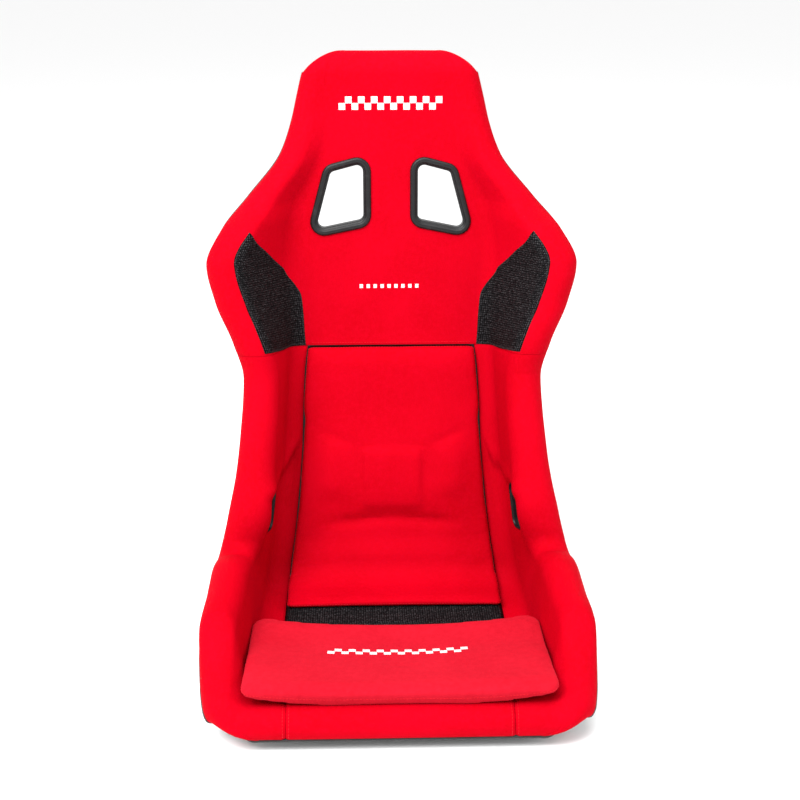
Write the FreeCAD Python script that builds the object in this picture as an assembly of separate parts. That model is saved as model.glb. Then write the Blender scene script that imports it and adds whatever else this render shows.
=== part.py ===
import FreeCAD, Part
import math
import os
from collections import namedtuple

# Fixed-back racing seat: a glass-fibre bucket shell with foam and a stretched red fabric
# cover over it, loose back, seat and thigh cushions, and slots for a five-point harness.
# Millimetres. X is across the seat and +Z is up. The driver faces -Y. Z = 0 is the plane
# that the two moulded runners stand on, and X = 0 is the plane of symmetry.

Vector = FreeCAD.Vector
os.makedirs("parts", exist_ok=True)

# Side profile of the covered surface along the middle, from the front lip up to the crown
LIP_RADIUS = 28.0
LIP_TURN = 135.0
RAMP_LENGTH = 120.0
RAMP_ANGLE = 16.0
RAMP_BLEND_RADIUS = 260.0
PAN_LENGTH = 178.0
HIP_RADIUS = 55.0
RECLINE = 22.0
BACK_CURVE = 24.5
CROWN_RADIUS = 34.0
CROWN_TURN = 150.0
PAN_REAR_Y = 93.0

# Steps up the back from the end of the hip curve, from one section to the next
HIP_RISE = 60.0
LUMBAR_RISE = 140.0
WAIST_RISE = 130.0
RIB_RISE = 60.0
CHEST_RISE = 70.0
SHOULDER_RISE = 65.0
YOKE_RISE = 53.0
SLOPE_RISE = 42.0
NECK_RISE = 70.0
HEAD_RISE = 50.0
TEMPLE_RISE = 40.0
TOP_RISE = 36.0

# Overall widths across the rolled edge
LIP_WIDTH = 526.0
THIGH_WIDTH = 576.0
PAN_WIDTH = 571.0
HIP_WIDTH = 536.0
LUMBAR_WIDTH = 500.0
WAIST_WIDTH = 482.0
RIB_WIDTH = 510.0
CHEST_WIDTH = 564.0
SHOULDER_WIDTH = 590.0
YOKE_WIDTH = 544.0
SLOPE_WIDTH = 472.0
NECK_WIDTH = 360.0
HEAD_WIDTH = 323.0
TEMPLE_WIDTH = 303.0
CROWN_WIDTH = 284.0
CROWN_BACK_WIDTH = 180.0

# Layers, from the covered surface outwards
COVER = 1.4
FOAM = 9.8
GLUE_LINE = 0.4
SHELL_WALL = 4.0

# Moulded runners under the pan and flat pads for the side mounts
RUNNER_HEIGHT = 3.0
RUNNER_WIDTH = 42.0
RUNNER_SPREAD = 220.0
RUNNER_FRONT_Y = -80.0
RUNNER_REAR_Y = 152.0
MOUNT_SPACING = 290.0
MOUNT_CENTRE_Y = -22.0
MOUNT_HEIGHT = 62.0
PAD_HEIGHT = 44.0
PAD_MARGIN = 24.0
PAD_PROUD = 8.0
BOLT_RADIUS = 4.0
INSERT_RADIUS = 7.0
INSERT_LENGTH = 10.0

# Harness slots: corners of the clear opening, and their trims
SHOULDER_SLOT = [(45.0, 618.0), (45.0, 711.0), (98.0, 697.0), (124.0, 602.0)]
LAP_SLOT = [(84.0, 144.0), (84.0, 200.0), (134.0, 212.0), (120.0, 134.0)]
CROTCH_SLOT_WIDTH = 90.0
CROTCH_SLOT_LENGTH = 30.0
CROTCH_SLOT_Y = -34.0
SLOT_CORNER = 10.0
LAP_CORNER = 12.0
COLLAR = 2.5
TRIM_FIT = 0.4
BEZEL_FLANGE = 13.0
BEZEL_HEIGHT = 4.5
REAR_RING = 3.0
GROMMET_FLANGE = 8.0
GROMMET_THICKNESS = 2.0

# Mesh panels let into the shoulders, seen from the front
MESH_PANEL = [(228.0, 622.0), (149.0, 494.0), (140.0, 446.0), (140.0, 401.0), (201.0, 426.0),
              (238.0, 522.0), (247.0, 582.0)]
MESH_CORNER = 12.0
MESH_FIT = 0.2

# Loose cushions
CUSHION_FABRIC = 1.4
CUSHION_GAP = 0.4
CUSHION_SEAT = 8.0
TRAY_GAP = 1.5
CUSHION_TOP_HALF = 139.0
CUSHION_WAIST_HALF = 145.0
CUSHION_LUMBAR_HALF = 150.5
CUSHION_HIP_HALF = 163.0
CUSHION_FOOT_HALF = 176.0
SEAT_PAD_HALF = 177.0
LIP_SEAM_HALF = 157.0
CUSHION_TOP_GAP = 1.5
SEAT_PAD_HEIGHT = 8.0
SEAT_PAD_REAR_Y = 84.0
BACK_EDGE = 14.0
BACK_CROWN = 17.0
LUMBAR_CROWN = 25.0
FOOT_EDGE = 20.0
FOOT_CROWN = 24.0
THIGH_REAR_Y = -58.0
THIGH_FRONT_Y = -283.0
THIGH_BASE_HALF = 170.0
THIGH_TOP_HALF = 226.0
THIGH_SIDE_LIFT = 26.0
THIGH_TIP = 18.0
THIGH_REAR_TOP = 42.0
THIGH_FRONT_TOP = 21.0
THIGH_FRONT_DISH = 8.0
THIGH_REAR_DISH = 20.0
CUSHION_CORNER = 6.0
BODY_GAP = 0.4

# Hook and loop tape
TAPE = 1.5
TAPE_WIDTH = 50.0
TAPE_OFFSET = 70.0

# Rubber edging over the raw edge of the shell and the tucked fabric
EDGING = 5.0
EDGING_LIP = 0.6

PADDING = COVER + GLUE_LINE + FOAM + GLUE_LINE
SKIN = PADDING + SHELL_WALL
SKIN_HEIGHT = SKIN + RUNNER_HEIGHT
BACK_LENGTH = (HIP_RISE + LUMBAR_RISE + WAIST_RISE + RIB_RISE + CHEST_RISE + SHOULDER_RISE
               + YOKE_RISE + SLOPE_RISE + NECK_RISE + HEAD_RISE + TEMPLE_RISE + TOP_RISE)

# The profile is a chain of straight and round runs: (length, curvature), left turns positive
PROFILE = [
    (LIP_RADIUS * math.radians(LIP_TURN), -1 / LIP_RADIUS),
    (RAMP_LENGTH, 0.0),
    (RAMP_BLEND_RADIUS * math.radians(RAMP_ANGLE), 1 / RAMP_BLEND_RADIUS),
    (PAN_LENGTH, 0.0),
    (HIP_RADIUS * math.radians(90 - RECLINE), 1 / HIP_RADIUS),
    (BACK_LENGTH, math.radians(BACK_CURVE) / BACK_LENGTH),
    (CROWN_RADIUS * math.radians(CROWN_TURN), -1 / CROWN_RADIUS),
]


def walk(a, b, heading, length, curvature):
    """The point and heading reached along a straight or round run."""
    if curvature == 0:
        return a + length * math.cos(heading), b + length * math.sin(heading), heading
    end = heading + curvature * length
    a += (math.sin(end) - math.sin(heading)) / curvature
    b -= (math.cos(end) - math.cos(heading)) / curvature
    return a, b, end


def profile_marks():
    """(distance, y, z, heading) where each run of the profile starts, and its end."""
    y, z, heading = 0.0, 0.0, math.radians(LIP_TURN - RAMP_ANGLE)
    distance = 0.0
    marks = [(distance, y, z, heading)]
    for length, curvature in PROFILE:
        y, z, heading = walk(y, z, heading, length, curvature)
        distance += length
        marks.append((distance, y, z, heading))
    shift_y = PAN_REAR_Y - marks[4][1]
    shift_z = SKIN_HEIGHT - marks[4][2]
    return [(d, y + shift_y, z + shift_z, h) for d, y, z, h in marks]


MARKS = profile_marks()
LIP, RAMP, BLEND, PAN, HIP, BACK, CROWN, END = [mark[0] for mark in MARKS]


def profile(s):
    """(y, z, heading) of the covered surface's middle line at distance s."""
    run = 0
    while run < len(PROFILE) - 1 and s > MARKS[run + 1][0]:
        run += 1
    start, y, z, heading = MARKS[run]
    return walk(y, z, heading, s - start, PROFILE[run][1])


def pan_distance(y_wanted):
    """Distance along the profile where the ramp or the pan passes a given y."""
    low, high = RAMP - LIP_RADIUS, HIP
    for _ in range(50):
        middle = (low + high) / 2
        if profile(middle)[0] < y_wanted:
            low = middle
        else:
            high = middle
    return (low + high) / 2


# Cross-sections. Each half runs from the middle: flat floor, fillet, side wall, rolled edge
# and a short skirt. The wall leans by wall_angle from the floor's direction.
Section = namedtuple("Section", "at half wall_angle wall roll fillet skirt")

LUMBAR = BACK + HIP_RISE + LUMBAR_RISE
WAIST = LUMBAR + WAIST_RISE
RIB = WAIST + RIB_RISE
CHEST = RIB + CHEST_RISE
SHOULDER = CHEST + SHOULDER_RISE
YOKE = SHOULDER + YOKE_RISE
SLOPE = YOKE + SLOPE_RISE
NECK = SLOPE + NECK_RISE
HEAD = NECK + HEAD_RISE
TEMPLE = HEAD + TEMPLE_RISE

SECTIONS = [
    Section(LIP, LIP_WIDTH / 2 - 40, 3, 3, 23, 24, 1),
    Section(RAMP * 0.18, LIP_WIDTH / 2 - 18, 4, 3, 23, 24, 1),
    Section(RAMP * 0.5, LIP_WIDTH / 2, 9, 7, 24, 26, 2),
    Section(RAMP * 0.88, LIP_WIDTH / 2 + 9.5, 29, 14, 25, 28, 6),
    Section(RAMP + RAMP_LENGTH * 0.25, THIGH_WIDTH / 2 - 6, 57, 28, 26, 28, 14),
    Section(RAMP + RAMP_LENGTH * 0.75, THIGH_WIDTH / 2, 80, 66, 27, 30, 24),
    Section(PAN, PAN_WIDTH / 2, 83, 84, 29, 32, 28),
    Section(HIP, PAN_WIDTH / 2 - 1, 83, 98, 30, 32, 30),
    Section(BACK + HIP_RISE, HIP_WIDTH / 2, 83, 96, 30, 30, 22),
    Section(LUMBAR, LUMBAR_WIDTH / 2, 84, 82, 30, 28, 28),
    Section(WAIST, WAIST_WIDTH / 2, 82, 76, 29, 24, 30),
    Section(RIB, RIB_WIDTH / 2, 74, 90, 31, 29, 30),
    Section(CHEST, CHEST_WIDTH / 2, 63, 104, 33, 34, 30),
    Section(SHOULDER, SHOULDER_WIDTH / 2, 60, 108, 34, 36, 30),
    Section(YOKE, YOKE_WIDTH / 2, 57, 80, 32, 33, 29),
    Section(SLOPE, SLOPE_WIDTH / 2, 47, 38, 30, 30, 28),
    Section(NECK, NECK_WIDTH / 2, 35, 21, 28, 26, 24),
    Section(HEAD, HEAD_WIDTH / 2, 20, 17, 28, 30, 20),
    Section(TEMPLE, TEMPLE_WIDTH / 2, 10, 12, 27, 30, 12),
    Section(CROWN, CROWN_WIDTH / 2, 6, 7, 26, 28, 3.5),
    Section(CROWN + CROWN_RADIUS * 0.6, CROWN_WIDTH / 2 - 7, 5, 6, 26, 28, 3),
    Section(CROWN + CROWN_RADIUS * 1.7, CROWN_BACK_WIDTH / 2 + 16, 3, 4, 26, 26, 2),
    Section(END, CROWN_BACK_WIDTH / 2, 3, 3, 26, 26, 2),
]


def smooth_between(places, values, x):
    """Monotone cubic curve through the values, held level past both ends."""
    x = min(max(x, places[0]), places[-1])
    steps = [b - a for a, b in zip(places, places[1:])]
    rates = [(b - a) / step for a, b, step in zip(values, values[1:], steps)]
    slopes = [rates[0]]
    for i in range(1, len(rates)):
        if rates[i - 1] * rates[i] <= 0:
            slopes.append(0.0)
            continue
        first = 2 * steps[i] + steps[i - 1]
        second = steps[i] + 2 * steps[i - 1]
        slopes.append((first + second) / (first / rates[i - 1] + second / rates[i]))
    slopes.append(rates[-1])
    i = 0
    while i < len(steps) - 1 and x > places[i + 1]:
        i += 1
    step = steps[i]
    t = (x - places[i]) / step
    rise = values[i + 1] - values[i]
    bend_in = step * slopes[i] - rise
    bend_out = rise - step * slopes[i + 1]
    return values[i] + t * rise + t * (1 - t) * ((1 - t) * bend_in + t * bend_out)


def section_sizes(s):
    places = [section.at for section in SECTIONS]
    columns = list(zip(*SECTIONS))[1:]
    return [smooth_between(places, column, s) for column in columns]


FAN_START = RAMP + RAMP_LENGTH / 6
FAN_END = LUMBAR + HIP_RISE / 2


def plane_angle(s):
    """Direction of a section's plane: square to the profile, and fanned evenly round the hip."""
    square = profile(s)[2] + math.pi / 2
    if s <= FAN_START or s >= FAN_END:
        return square
    first = profile(FAN_START)[2] + math.pi / 2
    last = profile(FAN_END)[2] + math.pi / 2
    t = (s - FAN_START) / (FAN_END - FAN_START)
    share = (t + t * t * (3 - 2 * t)) / 2
    return first + (last - first) * share


class Plane:
    """One section at a depth below the covered surface."""

    def __init__(self, s, depth):
        half, wall_angle, wall, roll, fillet, skirt = section_sizes(s)
        self.y, self.z, heading = profile(s)
        self.angle = plane_angle(s)
        lean = 1 / math.cos(self.angle - heading - math.pi / 2)
        tilt = math.radians(wall_angle)
        wall += depth * (lean - 1) / math.sin(tilt)
        fillet += depth
        roll -= depth
        floor = (half - depth - fillet * math.sin(tilt) - wall * math.cos(tilt)
                 - roll * (1 + math.sin(tilt)))
        self.floor_level = -depth * lean
        self.lean = lean
        self.runs = [(floor, 0.0), (fillet * tilt, 1 / fillet), (wall, 0.0),
                     (roll * (tilt + math.pi / 2), -1 / roll), (skirt, 0.0)]

    def place(self, x, n):
        return Vector(x, self.y + n * math.cos(self.angle), self.z + n * math.sin(self.angle))

    def on_run(self, run, share):
        """(x, n) at a share of one run: 0 floor, 1 fillet, 2 wall, 3 roll, 4 skirt."""
        x, n, heading = 0.0, self.floor_level, 0.0
        for length, curvature in self.runs[:run]:
            x, n, heading = walk(x, n, heading, length, curvature)
        length, curvature = self.runs[run]
        return walk(x, n, heading, share * length, curvature)[:2]


FLOOR, FILLET, WALL, ROLL, SKIRT = range(5)


def outline(plane, start_x, last_run=SKIRT):
    """Edges of half a section as point pairs or triples, from start_x on the floor outwards."""
    edges = [((start_x, plane.floor_level), plane.on_run(FLOOR, 1))]
    edges.append(tuple(plane.on_run(FILLET, share) for share in (0, 0.5, 1)))
    edges.append((plane.on_run(WALL, 0), plane.on_run(WALL, 1)))
    edges.append(tuple(plane.on_run(ROLL, share) for share in (0, 0.25, 0.5)))
    edges.append(tuple(plane.on_run(ROLL, share) for share in (0.5, 0.75, 1)))
    edges.append((plane.on_run(SKIRT, 0), plane.on_run(SKIRT, 1)))
    return edges[:3] if last_run == WALL else edges


def reverse(edges):
    return [tuple(reversed(edge)) for edge in reversed(edges)]


def mirror_points(edges):
    return [tuple((-x, n) for x, n in edge) for edge in edges]


def closed_wire(plane, edges):
    """Wire of lines and arcs through (x, n) points on a section's plane."""
    shapes = []
    for edge in edges:
        points = [plane.place(x, n) for x, n in edge]
        if len(points) == 2:
            shapes.append(Part.LineSegment(*points).toShape())
        else:
            shapes.append(Part.Arc(*points).toShape())
    return Part.Wire(shapes)


def layer_wire(s, near, far, start_x, last_run=SKIRT):
    """Half a section between two depths; start_x None takes the whole width."""
    upper, lower = Plane(s, near), Plane(s, far)
    if start_x is None:
        top = outline(upper, 0.0)
        bottom = outline(lower, 0.0)
        top = reverse(mirror_points(top))[:-1] + [((-top[0][1][0], top[0][1][1]), top[0][1])] + top[1:]
        bottom = (reverse(mirror_points(bottom))[:-1]
                  + [((-bottom[0][1][0], bottom[0][1][1]), bottom[0][1])] + bottom[1:])
    else:
        top = outline(upper, start_x, last_run)
        bottom = outline(lower, start_x, last_run)
    edges = top + [(top[-1][-1], bottom[-1][-1])] + reverse(bottom) + [(bottom[0][0], top[0][0])]
    return closed_wire(upper, edges)


def floor_wire(s, near, far, low_x, high_x):
    upper, lower = Plane(s, near), Plane(s, far)
    a, b = (low_x, upper.floor_level), (high_x, upper.floor_level)
    c, d = (high_x, lower.floor_level), (low_x, lower.floor_level)
    return closed_wire(upper, [(a, b), (b, c), (c, d), (d, a)])


# Places along the profile where cushions and cover panels begin and end
SEAM = WAIST + RIB_RISE * 0.6
LIP_PANEL_END = RAMP + RAMP_LENGTH * 0.35
SEAT_PAD_FRONT = RAMP + RAMP_LENGTH / 2
SEAT_PAD_REAR = pan_distance(SEAT_PAD_REAR_Y)

ROW_STEP = 34.0
ROW_TURN = 0.42


def row_grid():
    """Distances of the sections that all layers share: closer where the profile turns tightly."""
    cuts = sorted([mark[0] for mark in MARKS] + [LIP_PANEL_END, SEAT_PAD_FRONT, SEAM])
    grid = [cuts[0]]
    for low, high in zip(cuts, cuts[1:]):
        run = 0
        while run < len(PROFILE) - 1 and (low + high) / 2 > MARKS[run + 1][0]:
            run += 1
        turn = (high - low) * abs(PROFILE[run][1])
        count = math.ceil(max((high - low) / ROW_STEP, turn / ROW_TURN))
        grid += [low + (high - low) * (i + 1) / count for i in range(count)]
    return grid


ROW_GRID = row_grid()


def rows(start, stop):
    return [start] + [s for s in ROW_GRID if start + 1 < s < stop - 1] + [stop]


def loft(wires):
    return Part.makeLoft(wires, True, True)


def layer(start, stop, near, far, start_x=None, last_run=SKIRT):
    """Solid between two depths. start_x may follow the profile as a function of distance."""
    wires = []
    for s in rows(start, stop):
        inner = start_x(s) if callable(start_x) else start_x
        wires.append(layer_wire(s, near, far, inner, last_run))
    return loft(wires)


def floor_strip(start, stop, near, far, low_x, high_x):
    wires = []
    for s in rows(start, stop):
        low = low_x(s) if callable(low_x) else low_x
        high = high_x(s) if callable(high_x) else high_x
        wires.append(floor_wire(s, near, far, low, high))
    return loft(wires)


def mirrored(shape):
    return shape.mirror(Vector(0, 0, 0), Vector(1, 0, 0))


def grown(corners, grow):
    """Polygon with every side moved outwards; corners run clockwise or anticlockwise."""
    area = sum(a[0] * b[1] - b[0] * a[1] for a, b in zip(corners, corners[1:] + corners[:1]))
    side = math.copysign(1, area)
    lines = []
    for a, b in zip(corners, corners[1:] + corners[:1]):
        length = math.hypot(b[0] - a[0], b[1] - a[1])
        across = (side * (b[1] - a[1]) / length, -side * (b[0] - a[0]) / length)
        lines.append((across, across[0] * a[0] + across[1] * a[1] + grow))
    moved = []
    for (n1, d1), (n2, d2) in zip(lines[-1:] + lines[:-1], lines):
        cross = n1[0] * n2[1] - n1[1] * n2[0]
        moved.append(((d1 * n2[1] - d2 * n1[1]) / cross, (n1[0] * d2 - n2[0] * d1) / cross))
    return moved


def rounded_window(corners, radius, place, reach):
    """Prism through a window with rounded corners. place maps (a, b) to a point."""
    shapes = []
    last = None
    first = None
    count = len(corners)
    for i in range(count):
        corner = corners[i]
        ways = []
        for other in (corners[i - 1], corners[(i + 1) % count]):
            length = math.hypot(other[0] - corner[0], other[1] - corner[1])
            ways.append(((other[0] - corner[0]) / length, (other[1] - corner[1]) / length))
        turn = math.acos(ways[0][0] * ways[1][0] + ways[0][1] * ways[1][1])
        cut = radius / math.tan(turn / 2)
        middle = ((ways[0][0] + ways[1][0]), (ways[0][1] + ways[1][1]))
        size = math.hypot(*middle)
        depth = radius / math.sin(turn / 2) - radius
        arc_in = place(corner[0] + ways[0][0] * cut, corner[1] + ways[0][1] * cut)
        arc_mid = place(corner[0] + middle[0] / size * depth, corner[1] + middle[1] / size * depth)
        arc_out = place(corner[0] + ways[1][0] * cut, corner[1] + ways[1][1] * cut)
        if last:
            shapes.append(Part.LineSegment(last, arc_in).toShape())
        else:
            first = arc_in
        shapes.append(Part.Arc(arc_in, arc_mid, arc_out).toShape())
        last = arc_out
    shapes.append(Part.LineSegment(last, first).toShape())
    return Part.Face(Part.Wire(shapes)).extrude(reach)


FAR = 600.0


def shoulder_window(grow):
    return rounded_window(grown(SHOULDER_SLOT, grow), SLOT_CORNER + grow,
                          lambda x, z: Vector(x, 0, z), Vector(0, FAR, 0))


def lap_window(grow, reach_x):
    return rounded_window(grown(LAP_SLOT, grow), LAP_CORNER + grow,
                          lambda y, z: Vector(THIGH_BASE_HALF / 2, y, z),
                          Vector(reach_x - THIGH_BASE_HALF / 2, 0, 0))


def crotch_window(grow):
    a = CROTCH_SLOT_WIDTH / 2
    b = CROTCH_SLOT_LENGTH / 2
    corners = [(-a, CROTCH_SLOT_Y - b), (a, CROTCH_SLOT_Y - b),
               (a, CROTCH_SLOT_Y + b), (-a, CROTCH_SLOT_Y + b)]
    return rounded_window(grown(corners, grow), SLOT_CORNER + grow,
                          lambda x, y: Vector(x, y, -SKIN_HEIGHT), Vector(0, 0, FAR / 4))


def save(name, shape):
    solids = shape.Solids
    good = shape.isValid() and all(solid.Volume > 0 for solid in solids)
    print(name, "solids", len(solids), "volume", round(shape.Volume / 1000, 2), "valid", good)
    kept = solids[0] if len(solids) == 1 else Part.makeCompound(solids)
    kept.exportStep("parts/" + name + ".step")


def save_pair(name, right):
    save(name + "_right", right)
    save(name + "_left", mirrored(right))


# Half width of the tray that the side padding leaves for the loose cushions
TRAY_PLACES = [LIP, RAMP, SEAT_PAD_FRONT, PAN, HIP - PAN_LENGTH * 0.3, HIP,
               BACK + HIP_RISE, LUMBAR, WAIST, SEAM]
TRAY_HALVES = [LIP_SEAM_HALF, LIP_SEAM_HALF, SEAT_PAD_HALF, SEAT_PAD_HALF, SEAT_PAD_HALF,
               CUSHION_FOOT_HALF, CUSHION_HIP_HALF, CUSHION_LUMBAR_HALF, CUSHION_WAIST_HALF,
               CUSHION_TOP_HALF]


def tray_edge(s):
    return smooth_between(TRAY_PLACES, TRAY_HALVES, s) + TRAY_GAP


# Shell, with its moulded runners and mount pads
def side_face_x(s):
    """Outer face of the shell's side wall at mid wall."""
    plane = Plane(s, SKIN)
    return plane.on_run(WALL, 0.5)[0]


MOUNT_X = side_face_x(PAN) + PAD_PROUD
LAP_REACH = HIP_WIDTH / 2 - SKIN - GROMMET_FLANGE / 2


def mount_places():
    return [MOUNT_CENTRE_Y - MOUNT_SPACING / 2, MOUNT_CENTRE_Y + MOUNT_SPACING / 2]


def mount_pad():
    """Flat pad on the right side: what lies between the wall and the mounting plane."""
    middle_of_wall = SKIN - SHELL_WALL / 2
    outside = layer(RAMP, LUMBAR, middle_of_wall, SKIN + PAD_MARGIN, tray_edge, WALL)
    low_y, high_y = mount_places()
    box = Part.makeBox(MOUNT_X, high_y - low_y + 2 * PAD_MARGIN, PAD_HEIGHT,
                       Vector(0, low_y - PAD_MARGIN, MOUNT_HEIGHT - PAD_HEIGHT / 2))
    return outside.common(box)


def runner():
    """Moulded runner under the right side of the pan, carried back under the hip curve."""
    middle_of_wall = SKIN - SHELL_WALL / 2
    below = floor_strip(RAMP + RAMP_LENGTH, LUMBAR, middle_of_wall, SKIN + FAR / 10,
                        0.0, RUNNER_SPREAD)
    box = Part.makeBox(RUNNER_WIDTH, RUNNER_REAR_Y - RUNNER_FRONT_Y, SKIN_HEIGHT * 3,
                       Vector(RUNNER_SPREAD / 2 - RUNNER_WIDTH / 2, RUNNER_FRONT_Y, 0))
    return below.common(box)


def insert_hole(y, radius, length):
    return Part.makeCylinder(radius, length, Vector(MOUNT_X - length, y, MOUNT_HEIGHT),
                             Vector(1, 0, 0))


def make_shell():
    shell = layer(LIP, END, PADDING, SKIN)
    extras = [mount_pad(), runner()]
    shell = shell.fuse(extras + [mirrored(extra) for extra in extras])
    cuts = [shoulder_window(COLLAR + TRIM_FIT), lap_window(COLLAR + TRIM_FIT, LAP_REACH)]
    for y in mount_places():
        cuts.append(insert_hole(y, INSERT_RADIUS + TRIM_FIT / 4, INSERT_LENGTH))
    cuts += [mirrored(cut) for cut in cuts]
    cuts.append(crotch_window(COLLAR + TRIM_FIT))
    return shell.cut(cuts)


save("shell", make_shell())

inserts = []
for y in mount_places():
    body = insert_hole(y, INSERT_RADIUS, INSERT_LENGTH)
    inserts.append(body.cut(insert_hole(y, BOLT_RADIUS, INSERT_LENGTH)))
save_pair("threaded_inserts", Part.makeCompound(inserts))


# Foam and covers glued over the shell
FOAM_NEAR = COVER + GLUE_LINE
FOAM_FAR = FOAM_NEAR + FOAM
slot_cut = [shoulder_window(COLLAR + TRIM_FIT), mirrored(shoulder_window(COLLAR + TRIM_FIT))]
lap_cut = lap_window(COLLAR + TRIM_FIT, LAP_REACH)
panel_gap = GLUE_LINE / 2

save("upper_foam", layer(SEAM + panel_gap, END, FOAM_NEAR, FOAM_FAR).cut(slot_cut))
side_foam = layer(LIP, SEAM - panel_gap, FOAM_NEAR, FOAM_FAR, lambda s: tray_edge(s) + panel_gap)
save_pair("side_foam", side_foam.cut(lap_cut))


def lip_panel(near, far):
    return floor_strip(LIP, LIP_PANEL_END, near, far,
                       lambda s: -tray_edge(s) + panel_gap, lambda s: tray_edge(s) - panel_gap)


save("lip_foam", lip_panel(FOAM_NEAR, FOAM_FAR))


def mesh_window(grow):
    return rounded_window(grown(MESH_PANEL, grow), MESH_CORNER + grow,
                          lambda x, z: Vector(x, 0, z), Vector(0, FAR, 0))


upper_cover = layer(SEAM + panel_gap, END, 0.0, COVER)
shoulder_cover = layer(SEAM + panel_gap, SLOPE, 0.0, COVER, 0.0)
save_pair("shoulder_mesh", shoulder_cover.common(mesh_window(-MESH_FIT)))
mesh_cut = [mesh_window(0.0), mirrored(mesh_window(0.0))]
save("upper_cover", upper_cover.cut(slot_cut + mesh_cut))
side_cover = layer(LIP, SEAM - panel_gap, 0.0, COVER, lambda s: tray_edge(s) + panel_gap)
save_pair("side_cover", side_cover.cut(lap_cut))
save("lip_cover", lip_panel(0.0, COVER))


# Harness slot trims
def slot_band(near, far):
    return layer(CHEST, HEAD, near, far, 0.0, WALL)


def shoulder_ring(outer, inner, near, far):
    ring = shoulder_window(outer).cut(shoulder_window(inner))
    return slot_band(near, far).common(ring)


flange = shoulder_ring(BEZEL_FLANGE, 0.0, -BEZEL_HEIGHT, -TRIM_FIT)
collar = shoulder_ring(COLLAR, 0.0, -BEZEL_HEIGHT / 2, SKIN + TRIM_FIT + REAR_RING)
save_pair("shoulder_bezel", flange.fuse(collar))
save_pair("shoulder_rear_ring", shoulder_ring(BEZEL_FLANGE, COLLAR + TRIM_FIT, SKIN + TRIM_FIT,
                                              SKIN + TRIM_FIT + REAR_RING))


def lap_ring(outer, inner, near, far):
    ring = lap_window(outer, LAP_REACH).cut(lap_window(inner, LAP_REACH))
    return layer(HIP, WAIST, near, far, tray_edge, WALL).common(ring)


grommet_collar = lap_ring(COLLAR, 0.0, -TRIM_FIT, SKIN + TRIM_FIT + GROMMET_THICKNESS)
grommet_flange = lap_ring(GROMMET_FLANGE, 0.0, SKIN + TRIM_FIT,
                          SKIN + TRIM_FIT + GROMMET_THICKNESS)
save_pair("lap_belt_grommet", grommet_collar.fuse(grommet_flange))


def crotch_ring(outer, inner, near, far):
    ring = crotch_window(outer).cut(crotch_window(inner))
    reach = CROTCH_SLOT_WIDTH
    return floor_strip(BLEND, HIP, near, far, -reach, reach).common(ring)


CROTCH_TOP = PADDING - TRIM_FIT
top_flange = crotch_ring(GROMMET_FLANGE, 0.0, CROTCH_TOP - GROMMET_THICKNESS, CROTCH_TOP)
top_collar = crotch_ring(COLLAR, 0.0, CROTCH_TOP - GROMMET_THICKNESS,
                         SKIN + TRIM_FIT + GROMMET_THICKNESS)
save("crotch_grommet_top", top_flange.fuse(top_collar))
save("crotch_grommet_bottom", crotch_ring(GROMMET_FLANGE, COLLAR + TRIM_FIT, SKIN + TRIM_FIT,
                                          SKIN + TRIM_FIT + GROMMET_THICKNESS))


# Rubber edging along the raw edges
def side_edging():
    wires = []
    for s in rows(RAMP + RAMP_LENGTH / 12, CROWN):
        plane = Plane(s, 0.0)
        x, n = plane.on_run(SKIRT, 1)
        near, far = n - GLUE_LINE, n - GLUE_LINE - EDGING
        corners = [(x + EDGING_LIP, near), (x - SKIN - EDGING_LIP, near),
                   (x - SKIN - EDGING_LIP, far), (x + EDGING_LIP, far)]
        wires.append(closed_wire(plane, list(zip(corners, corners[1:] + corners[:1]))))
    return loft(wires)


def end_edging(start, stop):
    wires = [layer_wire(s, -EDGING_LIP, SKIN + EDGING_LIP, None) for s in (start, stop)]
    return loft(wires)


save_pair("side_edging", side_edging())
save("crown_edging", end_edging(END + GLUE_LINE, END + GLUE_LINE + EDGING))
save("lip_edging", end_edging(LIP - GLUE_LINE - EDGING, LIP - GLUE_LINE))


# Loose cushions, lofted through sections that are drawn in at both ends
def cushion_rows(start, stop, inset):
    """(distance, share of the full thickness) of each section of a cushion."""
    low, high = start + inset, stop - inset
    turn = CUSHION_CORNER
    ends = [(0.0, 0.3), (turn * 0.2, 0.62), (turn * 0.8, 0.88)]
    body = [(s, 1.0) for s in rows(low + 2 * turn, high - 2 * turn)]
    head = [(low + step, share) for step, share in ends]
    tail = [(high - step, share) for step, share in reversed(ends)]
    return head + body + tail


def drawn_in(values, middle, share):
    return [middle + (value - middle) * share for value in values]


def cushion_wire(plane, half, base, edge, crown, inset, share):
    """Section with rounded corners, drawn-in sides and a crowned top."""
    middle = (base + edge) / 2
    base, edge, crown = drawn_in([base + inset, edge - inset, crown - inset], middle, share)
    half -= inset + CUSHION_CORNER * (1 - share)
    r = min(CUSHION_CORNER - inset, (edge - base) * 0.4)
    bend = r * (1 - math.sqrt(0.5))
    low = ((half - r, base), (half - bend, base + bend), (half, base + r))
    high = ((half, edge - r), (half - bend, edge - bend), (half - r, edge))
    side = (low[2], (half - r / 4, (base + edge) / 2), high[0])
    right = [low, side, high]
    top = (high[2], (0.0, crown), (-high[2][0], high[2][1]))
    bottom = ((-low[0][0], base), (low[0][0], base))
    return closed_wire(plane, [bottom] + right + [top] + reverse(mirror_points(right)))


def save_cushion(name, make, openings=()):
    """Fabric cover as a hollow skin, and the foam core inside it."""
    cover, inside, core = make(0.0), make(CUSHION_FABRIC), make(CUSHION_FABRIC + CUSHION_GAP)
    if openings:
        cover, inside, core = [solid.cut(cut) for solid, cut in zip((cover, inside, core), openings)]
    save(name + "_cover", cover.cut(inside))
    save(name + "_core", core)


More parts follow.
